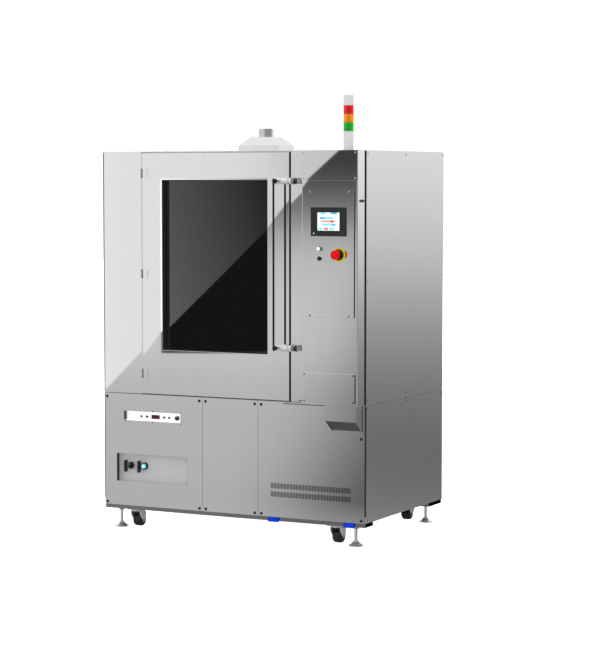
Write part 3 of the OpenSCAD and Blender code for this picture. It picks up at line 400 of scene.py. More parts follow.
def framed(x, y, z, hole_x, hole_z):
    """A box with a rectangular opening right through it from front to back."""
    piece = block(x, y, z)
    edit(piece)
    cuts = [(at(v, 0, 0), (1, 0, 0)) for v in hole_x] + [(at(0, 0, v), (0, 0, 1)) for v in hole_z]
    for spot, normal in cuts:
        bpy.ops.mesh.select_all(action="SELECT")
        bpy.ops.mesh.bisect(plane_co=spot, plane_no=normal)
    pick(lambda p, n: abs(n.y) > 0.9 and hole_x[0] < p.x < hole_x[1] and hole_z[0] < p.z < hole_z[1])
    bpy.ops.mesh.bridge_edge_loops()
    return close()


def turned(axis, centre, steps, sides=40, ring=False):
    """A piece turned on a lathe: (place along the axis, radius) steps; a ring closes on its first step."""
    clear()
    k, turn = AXIS[axis]

    def spot(place):
        point = list(centre)
        point[k] = place
        return at(*point)

    bpy.ops.mesh.primitive_circle_add(vertices=sides, radius=steps[0][1] * MM, location=spot(steps[0][0]),
                                      rotation=turn)
    bpy.ops.object.mode_set(mode="EDIT")
    bpy.ops.mesh.select_mode(type="VERT")
    bpy.ops.mesh.select_all(action="SELECT")
    path = steps + steps[:1] if ring else steps
    for (start, radius), (end, wider) in zip(path, path[1:]):
        move = [0, 0, 0]
        move[k] = (end - start) * MM
        bpy.ops.mesh.extrude_region_move(TRANSFORM_OT_translate={"value": move})
        if wider:
            size = [wider / radius] * 3
            size[k] = 1
            bpy.ops.transform.resize(value=size, center_override=spot(end))
        else:
            bpy.ops.mesh.merge(type="CENTER")
    bpy.ops.mesh.select_all(action="SELECT")
    bpy.ops.mesh.remove_doubles(threshold=SAME_POINT)
    if not ring:
        bpy.ops.mesh.select_all(action="SELECT")
        bpy.ops.mesh.fill_holes(sides=0)
    return close()


def coat(piece, finish, test=None, second=None):
    """Give a piece its finish, and a second one to the faces that pass the test."""
    piece.data.materials.append(finish)
    if second:
        piece.data.materials.append(second)
        edit(piece)
        pick(test)
        piece.active_material_index = 1
        bpy.ops.object.material_slot_assign()
        clear()
    return piece


def joined(*pieces):
    """One piece from several."""
    hold(*pieces)
    bpy.ops.object.join()
    return bpy.context.object


def copied(piece, x=0.0, y=0.0, z=0.0):
    """A copy with its own mesh, moved by millimetres."""
    hold(piece)
    bpy.ops.object.duplicate(linked=False)
    copy = bpy.context.object
    bpy.ops.transform.translate(value=(x * MM, y * MM, z * MM))
    bpy.ops.object.transform_apply(location=True, rotation=True, scale=True)
    return copy


def fitted(name, piece, body, stands_for=()):
    """Name a piece, smooth its curves, and hang it on its body."""
    hold(piece)
    bpy.ops.object.transform_apply(location=True, rotation=True, scale=True)
    bpy.ops.object.shade_smooth_by_angle(angle=SMOOTH)
    flat = piece.modifiers.new("flat faces stay flat", "WEIGHTED_NORMAL")
    flat.keep_sharp = True
    bpy.ops.object.modifier_apply(modifier=flat.name)
    piece.name = name
    piece.data.name = name
    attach(piece, body)
    if stands_for:
        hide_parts(*stands_for)
    return piece


def solids_of(node):
    """The lowest and highest corners (machine mm) of each separate solid of a CAD node."""
    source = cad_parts[node]
    mesh = bmesh.new()
    mesh.from_mesh(source.data)
    bmesh.ops.remove_doubles(mesh, verts=mesh.verts, dist=SAME_CAD_POINT)
    left = set(mesh.verts)
    found = []
    while left:
        group, waiting = set(), [left.pop()]
        while waiting:
            vert = waiting.pop()
            group.add(vert)
            for link in vert.link_edges:
                other = link.other_vert(vert)
                if other in left:
                    left.remove(other)
                    waiting.append(other)
        spots = [v.co / MM for v in group]
        low = Vector((min(s.x for s in spots), min(s.y for s in spots) - FRONT, min(s.z for s in spots)))
        high = Vector((max(s.x for s in spots), max(s.y for s in spots) - FRONT, max(s.z for s in spots)))
        found.append((low, high))
    mesh.free()
    return sorted(found, key=lambda pair: tuple(round(v, 2) for v in pair[0]))


# ---------------------------------------------------------------- signal tower

TOWER = (656, -42.5, 0)
TOWER_R = 24
TOWER_SIDES = 56
ROOF = 1885
LENS_FOOT = 1973
LENS_TALL = 40
CAP_TALL = 50
RIBS = 8
RIB_PITCH = 4.4


def signal_tower():
    """White foot and cap, three ribbed lenses, and a lamp socket inside each."""
    foot = turned("z", TOWER, [
        (ROOF, TOWER_R), (ROOF + 4, TOWER_R), (ROOF + 5, 22.8), (ROOF + 7, 22.8), (ROOF + 8, 23.6),
        (LENS_FOOT - 9, 23.6), (LENS_FOOT - 8, 22.4), (LENS_FOOT - 7, 22.4), (LENS_FOOT - 6, 23.8),
        (LENS_FOOT - 0.6, 23.8), (LENS_FOOT, 22.6)], sides=TOWER_SIDES)
    top = LENS_FOOT + 3 * LENS_TALL
    cap = turned("z", TOWER, [
        (top, 22.6), (top + 1, 23.8), (top + 5, TOWER_R), (top + CAP_TALL - 7, TOWER_R),
        (top + CAP_TALL - 3, 23.2), (top + CAP_TALL - 0.8, 21), (top + CAP_TALL, 17)], sides=TOWER_SIDES)
    fitted("tower_foot_and_cap", coat(joined(foot, cap), WHITE_ABS), "cabinet",
           ["tower_body"])
    sockets = []
    lenses = [("green", GREEN_LENS), ("amber", AMBER_LENS), ("red", RED_LENS)]
    for level, (tint, finish) in enumerate(lenses):
        z = LENS_FOOT + level * LENS_TALL
        steps = [(z + 0.2, 21.6), (z + 0.2, 23.2), (z + 1, TOWER_R)]
        for rib in range(RIBS):
            steps += [(z + 3 + rib * RIB_PITCH, TOWER_R), (z + 4.6 + rib * RIB_PITCH, 23.5)]
        steps += [(z + LENS_TALL - 1, TOWER_R), (z + 39.8, 23.2), (z + 39.8, 21.6)]
        lens = turned("z", TOWER, steps, sides=TOWER_SIDES, ring=True)
        fitted("tower_lens_" + tint, coat(lens, finish), "cabinet", ["tower_" + tint])
        sockets.append(turned("z", TOWER, [
            (z, 21), (z + 1.6, 21), (z + 1.6, 15), (z + 9, 13), (z + 10, 8), (z + 31, 8), (z + 34, 5),
            (z + 39.9, 5)], sides=TOWER_SIDES // 2))
    fitted("tower_lamp_sockets", coat(joined(*sockets), GREY_CASE), "cabinet")


# ---------------------------------------------------------------- operator panel

PLATE_Y = -85
ESTOP = (626.5, 1395)
ESTOP_REACH = 52
START = (526.5, 1422)
RESET = (526.5, 1376)
BEZEL_X, BEZEL_Z = (480.5, 666.5), (1481, 1617)
BEZEL_LIP = 12
BEZEL_PROUD = 4
SCREEN_X, SCREEN_Z = (515, 632), (1506.5, 1595.5)
SCREEN_PROUD = 2.6
PANEL_DOTS = [(497, 1494.5, WHITE_GLOW), (648, 1495.5, GREEN_GLOW)]


def touch_panel():
    """Bezel with a sunk window, the lit screen with its plain tiles, and two indicator dots."""
    face = PLATE_Y - BEZEL_PROUD
    view_x = (SCREEN_X[0] + 1, SCREEN_X[1] - 1)
    view_z = (SCREEN_Z[0] + 1, SCREEN_Z[1] - 3)
    rim = framed(BEZEL_X, (face, PLATE_Y), BEZEL_Z, view_x, view_z)
    edit(rim)
    pick(lambda p, n: n.y < -0.9)
    bpy.ops.mesh.inset(thickness=0.005, depth=-0.0006)
    close()
    back = block((BEZEL_X[0] + BEZEL_LIP, BEZEL_X[1] - BEZEL_LIP), (PLATE_Y - 1.5, PLATE_Y + 30),
                 (BEZEL_Z[0] + BEZEL_LIP, BEZEL_Z[1] - BEZEL_LIP))
    fitted("touch_panel_bezel", coat(joined(rounded(rim, 0.8), rounded(back, 1)), BLACK_ABS), "cabinet",
           ["hmi_bezel"])
    screen_face = PLATE_Y - SCREEN_PROUD
    tiles = [coat(block(SCREEN_X, (screen_face, PLATE_Y - 1.4), SCREEN_Z), SCREEN_WHITE)]
    wide, tall = SCREEN_X[1] - SCREEN_X[0], SCREEN_Z[1] - SCREEN_Z[0]
    for left, right, low, high, finish in SCREEN_TILES:
        tile = block((SCREEN_X[0] + left * wide, SCREEN_X[0] + right * wide), (PLATE_Y - 3, screen_face),
                     (SCREEN_Z[0] + low * tall, SCREEN_Z[0] + high * tall))
        tiles.append(coat(tile, finish))
    fitted("touch_panel_screen", joined(*tiles), "cabinet", ["display_glass"])
    dots = [coat(turned("y", (x, 0, z), [(face, 2.6), (face - 0.6, 2.4), (face - 1, 1.6), (face - 1.1, 0)],
                        sides=20), finish) for x, z, finish in PANEL_DOTS]
    fitted("touch_panel_dots", joined(*dots), "cabinet")


def emergency_stop():
    """Mushroom head, its yellow plate and the black collar it runs in."""
    x, z = ESTOP
    front = PLATE_Y - ESTOP_REACH
    head = turned("y", (x, 0, z), [
        (PLATE_Y - 1, 9), (front + 20, 9), (front + 20, 18), (front + 18.8, 20.8), (front + 16.5, 22.3),
        (front + 14, 22.5), (front + 9, 22.4), (front + 5, 21.6), (front + 2.2, 19.4), (front + 0.6, 15.5),
        (front, 10.5), (front, 0)], sides=60)
    fitted("emergency_stop_head", coat(head, RED_PLASTIC), "emergency_stop", ["estop_button"])
    plate = turned("y", (x, 0, z), [
        (PLATE_Y, 11), (PLATE_Y, 34.5), (PLATE_Y - 1.3, 34.5), (PLATE_Y - 2, 33.7), (PLATE_Y - 2, 11)],
        sides=60, ring=True)
    fitted("emergency_stop_plate", coat(plate, YELLOW_PLASTIC), "cabinet", ["estop_ring"])
    cup = turned("y", (x, 0, z), [
        (PLATE_Y - 2, 9.4), (PLATE_Y - 2, 26.5), (PLATE_Y - 5, 26.5), (PLATE_Y - 8, 23),
        (PLATE_Y - 21.2, 19.8), (PLATE_Y - 22, 18.6), (PLATE_Y - 22, 9.4)], sides=60, ring=True)
    fitted("emergency_stop_collar", coat(cup, BLACK_GLOSS), "cabinet")


def push_buttons():
    """The lit start button, the black button with its dished cap, and a chrome ring round each."""
    x, z = START
    lens = turned("y", (x, 0, z), [
        (PLATE_Y + 3, 7), (PLATE_Y - 3.5, 7), (PLATE_Y - 3.8, 9), (PLATE_Y - 16, 9), (PLATE_Y - 17.4, 8.2),
        (PLATE_Y - 18, 6.6), (PLATE_Y - 18, 0)])
    coat(lens, GREEN_RIM, lambda p, n: n.y < -0.3, PALE_GLOW)
    fitted("start_button_lens", lens, "start_key", ["start_button"])
    x, z = RESET
    cap = turned("y", (x, 0, z), [
        (PLATE_Y + 3, 6), (PLATE_Y - 3.5, 6), (PLATE_Y - 3.8, 8), (PLATE_Y - 9, 8), (PLATE_Y - 10, 7.2),
        (PLATE_Y - 9.4, 5), (PLATE_Y - 9, 0)])
    fitted("black_button_cap", coat(cap, BLACK_GLOSS), "reset_key", ["reset_button"])
    rings = [turned("y", (x, 0, z), [
        (PLATE_Y, r + 0.6), (PLATE_Y, r + 3.4), (PLATE_Y - 2.4, r + 3.2), (PLATE_Y - 4.4, r + 1.6),
        (PLATE_Y - 4.4, r + 0.6)], ring=True) for (x, z), r in ((START, 9), (RESET, 8))]
    fitted("button_chrome_rings", coat(joined(*rings), CHROME), "cabinet")


# ---------------------------------------------------------------- base controls

POWER = (-508, 316)
SWITCH = (-585, 316)
STRIP_Z = 566
DIAL = (-316, STRIP_Z)
STRIP_KEYS = [(-524, GREY_CASE), (-491, BLACK_GLOSS), (-392, BLACK_GLOSS), (-363, GREY_CASE)]
METER_X, METER_Z = (-466, -419), (556, 576)
DIGITS = 4
DIGIT_PITCH = 10


def power_button():
    """Lit button with a cyan ring, in a square white plate."""
    x, z = POWER
    lens = turned("y", (x, 0, z), [
        (31, 11), (24.5, 11), (24, 13), (12.4, 13), (10.8, 12), (10, 10), (10.4, 6), (10.6, 0)])
    coat(lens, WHITE_GLOW, lambda p, n: n.y < -0.5 and math.hypot(p.x - x, p.z - z) > 7.5, CYAN_GLOW)
    fitted("power_button_lens", lens, "power_key", ["power_button"])
    outer, inner = 23, 17
    plate = framed((x - outer, x + outer), (28.6, 30), (z - outer, z + outer), (x - inner, x + inner),
                   (z - inner, z + inner))
    fitted("power_button_plate", coat(rounded(plate, 0.5), WHITE_ABS), "cabinet")


def main_switch():
    """Round base with a waisted grip and a white mark."""
    x, z = SWITCH
    base = turned("y", (x, 0, z), [
        (31, 4), (25.6, 4), (25.6, 17.2), (24.6, 18), (18, 18), (16.2, 16.6), (15.6, 13)], sides=48)
    grip = block((x - 5, x + 5), (8, 17), (z - 17, z + 17))
    edit(grip)
    pick(lambda p, n: n.y < -0.9)
    bpy.ops.transform.resize(value=(0.62, 1, 0.86), center_override=at(x, 8, z))
    close()
    rounded(grip, 1.2, 3)
    mark = coat(block((x - 0.7, x + 0.7), (7.7, 8.4), (z + 3, z + 13)), WHITE_ABS)
    knob = joined(coat(base, BLACK_GLOSS), coat(grip, BLACK_GLOSS), mark)
    fitted("main_switch_grip", knob, "main_switch_knob", ["main_switch"])


def controller_dial():
    """Fluted knob with a white mark."""
    x, z = DIAL
    dial = turned("y", (x, 0, z), [
        (31.8, 4), (24.7, 4), (24.7, 11.5), (23, 11.5), (21.6, 10.4), (12.4, 10), (11.2, 9), (11, 5),
        (11.3, 0)], sides=36)

    def third(p):
        """Whether a face belongs to every third facet round the knob."""
        return round(math.degrees(math.atan2(p.z - z, p.x - x)) / 10 - 0.5) % 3 == 0

    edit(dial)
    pick(lambda p, n: 13 < p.y < 21 and third(p))
    bpy.ops.mesh.inset(thickness=0.0002, depth=-0.0009, use_individual=True)
    close()
    mark = coat(block((x - 0.6, x + 0.6), (10.7, 11.2), (z + 2.5, z + 9)), WHITE_ABS)
    fitted("controller_dial_knob", joined(coat(dial, BLACK_ABS), mark), "controller_dial",
           ["controller_knob"])


def controller_strip():
    """Lamps, keys and the red-lit meter of the white strip."""
    keys = []
    for x, finish in STRIP_KEYS:
        key = turned("y", (x, 0, STRIP_Z), [(22, 6), (20.6, 6), (19.4, 5), (19, 3), (18.9, 0)], sides=28)
        keys.append(coat(key, finish))
    fitted("controller_keys", joined(*keys), "cabinet")
    meter = [coat(rounded(block(METER_X, (22.6, 25), METER_Z), 0.6), BLACK_GLOSS)]
    for digit in range(DIGITS):
        x = METER_X[0] + 5 + digit * DIGIT_PITCH
        figure = framed((x, x + 6.5), (22.3, 22.7), (560.5, 571.5), (x + 1.7, x + 4.8), (562.2, 569.8))
        meter.append(coat(figure, RED_GLOW))
    fitted("controller_meter", joined(*meter), "cabinet")


# ---------------------------------------------------------------- latch

BOLT_ZS = (940, 1740)
BARREL_Y = -22
BARREL_X = (250, 344)
ROD_X, ROD_Y = 267, -60
ROD_LOW, ROD_HIGH = 928, 1752
# Rings on each barrel: place, outer radius, width and finish
BARREL_RINGS = [(328, 16.4, 1.4, BLACK_GLOSS), (334, 16.4, 1.4, BLACK_GLOSS), (302, 16.3, 1.6, CHROME),
                (310, 16.3, 1.6, CHROME), (318, 16.3, 1.6, CHROME)]


def latch():
    """The pull rod with its two bosses and bolts, which slide as one."""
    tip = extent("latch_bar")[1][0]
    rod = turned("z", (ROD_X, ROD_Y, 0), [
        (ROD_LOW, 2.5), (ROD_LOW + 1, 4), (ROD_LOW + 3, 5), (ROD_HIGH - 3, 5), (ROD_HIGH - 1, 4),
        (ROD_HIGH, 2.5)], sides=24)
    parts = [coat(rod, BLACK_GLOSS)]
    for z in BOLT_ZS:
        arm = turned("y", (ROD_X, 0, z), [
            (ROD_Y - 5.5, 4), (ROD_Y - 5, 5.6), (ROD_Y + 5, 6.4), (-54, 4), (BARREL_Y, 4)], sides=24)
        boss = turned("y", (ROD_X, 0, z), [
            (-53, 4.2), (-52, 9.6), (-50.5, 11.2), (-44, 11.2), (-42.4, 10.4), (-40, 10.4), (-40, 4.2)],
            sides=32)
        bolt = turned("x", (0, BARREL_Y, z), [(263, 8), (264, 9), (tip - 2, 9), (tip, 7.4)], sides=32)
        parts += [coat(arm, BLACK_GLOSS), coat(boss, BLACK_ABS), coat(bolt, SATIN_CHROME)]
    fitted("latch_rod_and_bolts", joined(*parts), "latch", ["latch_bar"])


def latch_trims():
    """Caps and rings of the barrels on the door."""
    left, right = BARREL_X
    trims = []
    for z in BOLT_ZS:
        centre = (0, BARREL_Y, z)
        cap = turned("x", centre, [(left, 14), (left - 0.8, 14.6), (left - 0.8, 15.6), (left, 16)], sides=32)
        bush = turned("x", centre, [(right, 9.6), (right, 16.2), (right + 1.4, 15.2), (right + 1.4, 9.6)],
                      sides=32, ring=True)
        trims += [coat(cap, BLACK_ABS), coat(bush, WHITE_ABS)]
        for x, outer, wide, finish in BARREL_RINGS:
            ring = turned("x", centre, [(x, 15.5), (x, outer), (x + wide, outer), (x + wide, 15.5)],
                          sides=32, ring=True)
            trims.append(coat(ring, finish))
    fitted("latch_barrel_trims", joined(*trims), "door")


def bolt_keepers():
    """Black keepers on the post, with steel feet and end faces, and a lip round each bore."""
    low, high = extent("latch_keepers")
    parts = [coat(copy_of("latch_keepers"), BLACK_ABS, lambda p, n: n.x > 0.7 or p.y > -10, SATIN_STEEL)]
    for z in BOLT_ZS:
        lip = turned("x", (0, BARREL_Y, z), [
            (low[0] - 0.4, 11.7), (low[0] - 0.4, 12.6), (low[0] + 0.6, 13.6), (low[0] + 0.6, 11.7)],
            sides=48, ring=True)
        parts.append(coat(lip, BLACK_GLOSS))
    fitted("bolt_keepers", joined(*parts), "cabinet", ["latch_keepers"])


# ---------------------------------------------------------------- door

DOOR_X, DOOR_Y, DOOR_Z = (-500, 320), (0, 87), (684, 1877)
WINDOW_X, WINDOW_Z = (-386, 202), (905, 1744)
SEAL_IN, SEAL_WIDE, SEAL_THICK = 12, 18, 2.5
BEAD_GAP, BEAD_WIDE, BEAD_DEEP = 0.3, 3, 4


def shrunk(span, by):
    """A pair of values drawn in at both ends."""
    return span[0] + by, span[1] - by


def door():
    """The leaf, the seal behind it and the bead that holds the pane."""
    leaf = framed(DOOR_X, DOOR_Y, DOOR_Z, WINDOW_X, WINDOW_Z)
    fitted("door_leaf", coat(rounded(leaf, 1.6, 3), MIRROR_STEEL), "door", ["door_shell"])
    inner = SEAL_IN + SEAL_WIDE
    seal = framed(shrunk(DOOR_X, SEAL_IN), (DOOR_Y[1], DOOR_Y[1] + SEAL_THICK), shrunk(DOOR_Z, SEAL_IN),
                  shrunk(DOOR_X, inner), shrunk(DOOR_Z, inner))
    fitted("door_seal", coat(rounded(seal, 1.1, 2), RUBBER), "door")
    bead_x, bead_z = shrunk(WINDOW_X, BEAD_GAP), shrunk(WINDOW_Z, BEAD_GAP)
    pane = extent("door_glass")[0][1]
    bead = framed(bead_x, (pane - BEAD_DEEP, pane - 0.2), bead_z, shrunk(bead_x, BEAD_WIDE),
                  shrunk(bead_z, BEAD_WIDE))
    fitted("window_bead", coat(rounded(bead, 1, 2), RUBBER), "door")


# ---------------------------------------------------------------- sheet-steel skins

FOLD = 4.4
PLATE_FOLD = 1.2
PLUG_Y, PLUG_Z = -37, 1647


def side_skins():
    """The flanks again, their front and rear edges folded."""
    low, high = extent("side_panels")
    flank = joined(*[box_of(*corners) for corners in solids_of("side_panels")])
    corner = high[0] - FOLD - 0.5
    folded(flank, FOLD, lambda p, n: abs(n.z) > 0.9 and abs(p.x) > corner
           and (p.y < low[1] + 1 or p.y > high[1] - 1))
    fitted("side_skins", coat(rounded(flank, 0.5, 2), SATIN_STEEL), "cabinet",
           ["side_panels"])


def column_skin():
    """The column with folded front corners, and the black oval plug in its side."""
    low, high = extent("column_housing")
    column = folded(copy_of("column_housing"), FOLD,
                    lambda p, n: abs(n.z) > 0.9 and p.y < low[1] + 0.5
                    and (p.x < low[0] + 0.5 or p.x > high[0] - 0.5))
    wall = high[0]
    plug = turned("x", (0, PLUG_Y, PLUG_Z), [
        (wall - 1, 28), (wall + 1.2, 28), (wall + 2.4, 26), (wall + 2.8, 20), (wall + 2.8, 0)])
    bpy.ops.transform.resize(value=(1, 1, 0.25), center_override=at(0, PLUG_Y, PLUG_Z))
    bpy.ops.object.transform_apply(location=True, rotation=True, scale=True)
    fitted("column_skin", joined(coat(column, MIRROR_STEEL), coat(plug, BLACK_ABS)), "cabinet",
           ["column_housing"])


def operator_plate():
    """The control plate with its rim bent back."""
    low, high = extent("control_plate")
    plate = folded(copy_of("control_plate"), PLATE_FOLD,
                   lambda p, n: p.y < low[1] + 0.5 and (min(p.x - low[0], high[0] - p.x) < 0.5
                                                        or min(p.z - low[2], high[2] - p.z) < 0.5), 3)
    fitted("operator_plate", coat(plate, MIRROR_STEEL), "cabinet", ["control_plate"])


def flat_plates():
    """The column's end covers, the strip and the post, with softened edges."""
    for node, name, width in (("column_covers", "column_end_covers", 0.8),
                              ("front_frame", "front_strip_and_post", 0.6)):
        plates = [rounded(box_of(*corners), width, 3) for corners in solids_of(node)]
        fitted(name, coat(joined(*plates), MIRROR_STEEL), "cabinet", [node])


# ---------------------------------------------------------------- seals and strips

# Upright stretches of the hinge-side gap, from hinge to hinge, and the gap over the door
HINGE_GAP_X = (-503.8, -500.4)
HINGE_GAP_ZS = [(686, 762), (806, 1259), (1302, 1755), (1799, 1875)]
OVER_DOOR_X, OVER_DOOR_Z = (-503.8, 324), (1878, 1881)
# Black strips of painted shade on the column: one under the front edge of its foot, then the painted shadow
# lines beside the control plate and the foot cover
FOOT_SHADE_STRIP = (331, 552.4), (-84.4, -78), (678.6, 681.9)
EDGE_SHADE_STRIPS = [((706, 710), (1100, 1695)), ((709.6, 713.6), (694, 834))]
# Black strips of painted shade in the front corner gaps of the base and of the upper body: depth, then lowest
# and highest point
CORNER_X = (722.4, 727.3)
CORNER_SHADE_STRIPS = [(10, (150, 676)), (6, (684, 1880))]
SEAM_X, SEAM_Y, SEAM_Z = (717, 726.4), (8, 900), (678.2, 681.8)
GRILLE_RUN, GRILLE_DROP = 74, 52
# Black strips of painted shade on the left walls of the strip's recess and of the switch tray
RECESS_SHADE_STRIPS = [((-612, -610.6), (1, 24.6), (546.4, 591.6)), ((-655, -653.4), (1, 20), (237.4, 376.6))]
STRIP_SCREWS = [(-604, 541), (-444, 541), (-282, 541), (-444, 597), (-282, 597)]
HINGE_SCREW_X = -507
HINGE_ZS = (784, 1280.5, 1777)


def both_sides(x, y, z):
    """A strip with softened edges at the left and its twin at the right."""
    return [rounded(block(pair, y, z), 0.6, 2) for pair in ((-x[1], -x[0]), x)]


def gap_strips():
    """Pale strips in the gaps round the door, and black strips of painted shade at the column's foot and
    right edge.
    """
    pale = [rounded(block(HINGE_GAP_X, (1, 22), z), 0.3, 2) for z in HINGE_GAP_ZS]
    pale.append(rounded(block(OVER_DOOR_X, (4, 22), OVER_DOOR_Z), 0.6, 2))
    fitted("hinge_side_seal", coat(joined(*pale), SATIN_CHROME), "cabinet")
    # Black rubber strips that stand in for the shadow lines at these edges: painted shade
    lip = rounded(block(*FOOT_SHADE_STRIP), 0.5, 2)
    edges = [rounded(block(x, (-84.6, -81), z), 0.4, 2) for x, z in EDGE_SHADE_STRIPS]
    fitted("column_painted_shade_strips", coat(joined(lip, *edges), RUBBER), "cabinet")


def recoated_fittings():
    """Barrels in satin chrome with hinge leaves in the door's steel, and collars whose pale recess rim takes
    the tray's grey with its faint painted glow.
    """
    fittings = coat(copy_of("door_fittings"), SATIN_CHROME, lambda p, n: p.x < 0, MIRROR_STEEL)
    fitted("barrels_and_door_leaves", fittings, "door", ["door_fittings"])
    # The switch collar's recess rim gets the tray grey with its faint painted glow
    bezels = coat(copy_of("button_bezels"), BLACK_ABS,
                  lambda p, n: p.y > 0 and math.dist((p.x, p.z), SWITCH) < 25.6, BLASTED_STEEL_PAINTED_GLOW)
    fitted("button_collars", bezels, "cabinet", ["button_bezels"])


def corner_shade_strips():
    """Black strips of painted shade in the front corner gaps, and steel behind the seam of each flank."""
    pairs = [both_sides(CORNER_X, (0.3, deep), z) for deep, z in CORNER_SHADE_STRIPS]
    corners = [pair[side] for side in (0, 1) for pair in pairs]
    # Black strips filling the corner gaps, where there is only shade: painted shade
    fitted("corner_shade_strips", coat(joined(*corners), BLACK_ABS), "cabinet")
    backs = both_sides(SEAM_X, SEAM_Y, SEAM_Z)
    fitted("side_seam_backing", coat(joined(*backs), SATIN_STEEL), "cabinet")


def intake_grille():
    """A sheet of mesh that slopes down and back inside the column's intake."""
    low, high = extent("column_skirt")
    grille = block((low[0] + 3, high[0] - 3), (-80, -78.6), (low[2] + 63, low[2] + 66))
    edit(grille)
    pick(lambda p, n: n.z < -0.9)
    slope = (0, GRILLE_RUN * MM, -GRILLE_DROP * MM)
    bpy.ops.mesh.extrude_region_move(TRANSFORM_OT_translate={"value": slope})
    close()
    fitted("intake_grille", coat(rounded(grille, 0.3, 1), GRILLE), "cabinet")


def recess_shade_strips_and_screws():
    """Black strips of painted shade down the left walls of the two recesses, and the small screws round the
    strip.
    """
    walls = [rounded(block(*wall), 0.4, 2) for wall in RECESS_SHADE_STRIPS]
    for x, z in STRIP_SCREWS:
        walls.append(turned("y", (x, 0, z), [(0.2, 3.2), (-0.6, 3.2), (-1.2, 2.4), (-1.4, 0)], sides=12))
    fitted("recess_shade_strips_and_screws", coat(joined(*walls), BLACK_ABS), "cabinet")


def hinge_screws():
    """A pair of small black screws at each hinge."""
    screws = []
    for z in HINGE_ZS:
        for side in (-16, 16):
            head = turned("y", (HINGE_SCREW_X, 0, z + side), [(-2, 3), (-3, 3), (-3.6, 2.3), (-3.7, 0)],
                          sides=16)
            screws.append(coat(head, BLACK_ABS))
    fitted("hinge_screws", joined(*screws), "cabinet")


# ---------------------------------------------------------------- undercarriage and fasteners

TREAD_R = 31.5
HUB_R = 20.6


def casters():
    """Wheels turned about their axles, with tyre, hub and dust caps, the axle nuts and a dust shield."""
    for corner in ("fl", "fr", "rl", "rr"):
        low, high = extent("caster_wheel_" + corner)
        x, y, z = [(a + b) / 2 for a, b in zip(low, high)]
        half = (high[0] - low[0]) / 2
        rim = [(half - 1, 4.6), (half - 1, 8), (half - 5, 10), (half - 5, 19), (half - 1.5, 20.5), (half, 22),
               (half, 25), (half - 2, 27.6), (half - 5, 29.6), (half - 10, 31.2)]
        steps = [(x - side, r) for side, r in rim]
        steps += [(x, TREAD_R)] + [(x + side, r) for side, r in reversed(rim)]
        wheel = turned("x", (0, y, z), steps, sides=56, ring=True)
        coat(wheel, TYRE, lambda p, n: math.hypot(p.y - y, p.z - z) < HUB_R, BLACK_ABS)
        fitted("caster_tyre_" + corner, wheel, "wheel_" + corner, ["caster_wheel_" + corner])
        nuts = [turned("x", (0, y, z), [(x + s * (half + 4.6), 6.6), (x + s * (half + 7.6), 6.6),
                                        (x + s * (half + 8.4), 5.6)], sides=6) for s in (-1, 1)]
        shield = block((x - half - 1, x + half + 1), (y - 24, y + 24), (z + 33, z + 38))
        coat(rounded(shield, 1.4, 2), BLACK_ABS)
        fitted("caster_nuts_" + corner, joined(coat(joined(*nuts), ZINC), shield), "fork_" + corner)


def rail_clips():
    """The two blue clips, their edges softened."""
    clips = [rounded(box_of(*corners), 2, 3) for corners in solids_of("rail_clips")]
    fitted("blue_rail_clips", coat(joined(*clips), BLUE_PLASTIC), "cabinet", ["rail_clips"])


def panel_screws():
    """Domed screws with a round socket painted black as shade, one at each place of the CAD node.

    One head is turned for each way that a screw faces and each finish, and the rest are its copies.
    """
    patterns = {}
    heads = []
    for low, high in solids_of("panel_screws"):
        size = high - low
        k = min(range(3), key=lambda i: size[i])
        axis = "xyz"[k]
        middle = (low + high) / 2
        outward = -1 if axis == "y" and middle.y < 400 or axis == "x" and middle.x < 0 else 1
        foot, tip = (high[k], low[k]) if outward < 0 else (low[k], high[k])
        # The same screws in two finishes: pale chrome high on the column front where they catch the bright
        # room, black steel elsewhere; painted highlight and painted shade
        pale = axis == "y" and middle.y < -70 and middle.z > 1650
        if (axis, outward, pale) in patterns:
            head, first, first_foot = patterns[axis, outward, pale]
            shift = middle - first
            shift[k] = foot - first_foot
            heads.append(copied(head, *shift))
            continue
        head = turned(axis, middle, [
            (foot, 4), (foot + outward * 0.5, 4), (foot + outward * 1.1, 3.4), (tip, 2.5),
            (foot + outward * 0.6, 2.2), (foot + outward * 0.5, 0)], sides=12)
        # The faces inside each socket are black: painted shade in the recess
        coat(head, SATIN_CHROME if pale else BLACK_OXIDE,
             lambda p, n: abs(p[k] - foot) < 1.2 and math.dist(p, middle) < 2.2, BLACK_ABS)
        patterns[axis, outward, pale] = head, middle, foot
        heads.append(head)
    fitted("panel_screw_heads", joined(*heads), "cabinet", ["panel_screws"])


clear()
signal_tower()
touch_panel()
emergency_stop()
push_buttons()
power_button()
main_switch()
controller_dial()
controller_strip()
latch()
latch_trims()
bolt_keepers()
door()
side_skins()
column_skin()
operator_plate()
flat_plates()
gap_strips()
recoated_fittings()
corner_shade_strips()
intake_grille()
recess_shade_strips_and_screws()
hinge_screws()
casters()
rail_clips()
panel_screws()

# ---------------------------------------------------------------- studio

# Two glowing cards that only gloss sees: size and distance in metres, and each one's line of sight
CARD_FAR = 15.6
CARD_SIZE = 14.0
FRONT_AIM = (-0.4557, -0.8875, -0.0679)
SIDE_AIM = (0.4557, 0.8875, -0.0679)
# Left, right, lowest and highest edge of what each card shows; the bright room lies beyond
FRONT_EDGES = (-2.6, 1.5, -2.1, 2.3)
SIDE_EDGES = (-2.4, 1.4, -2.2, 2.4)
SOFT = 0.9
ROOM_LEVEL = 0.7
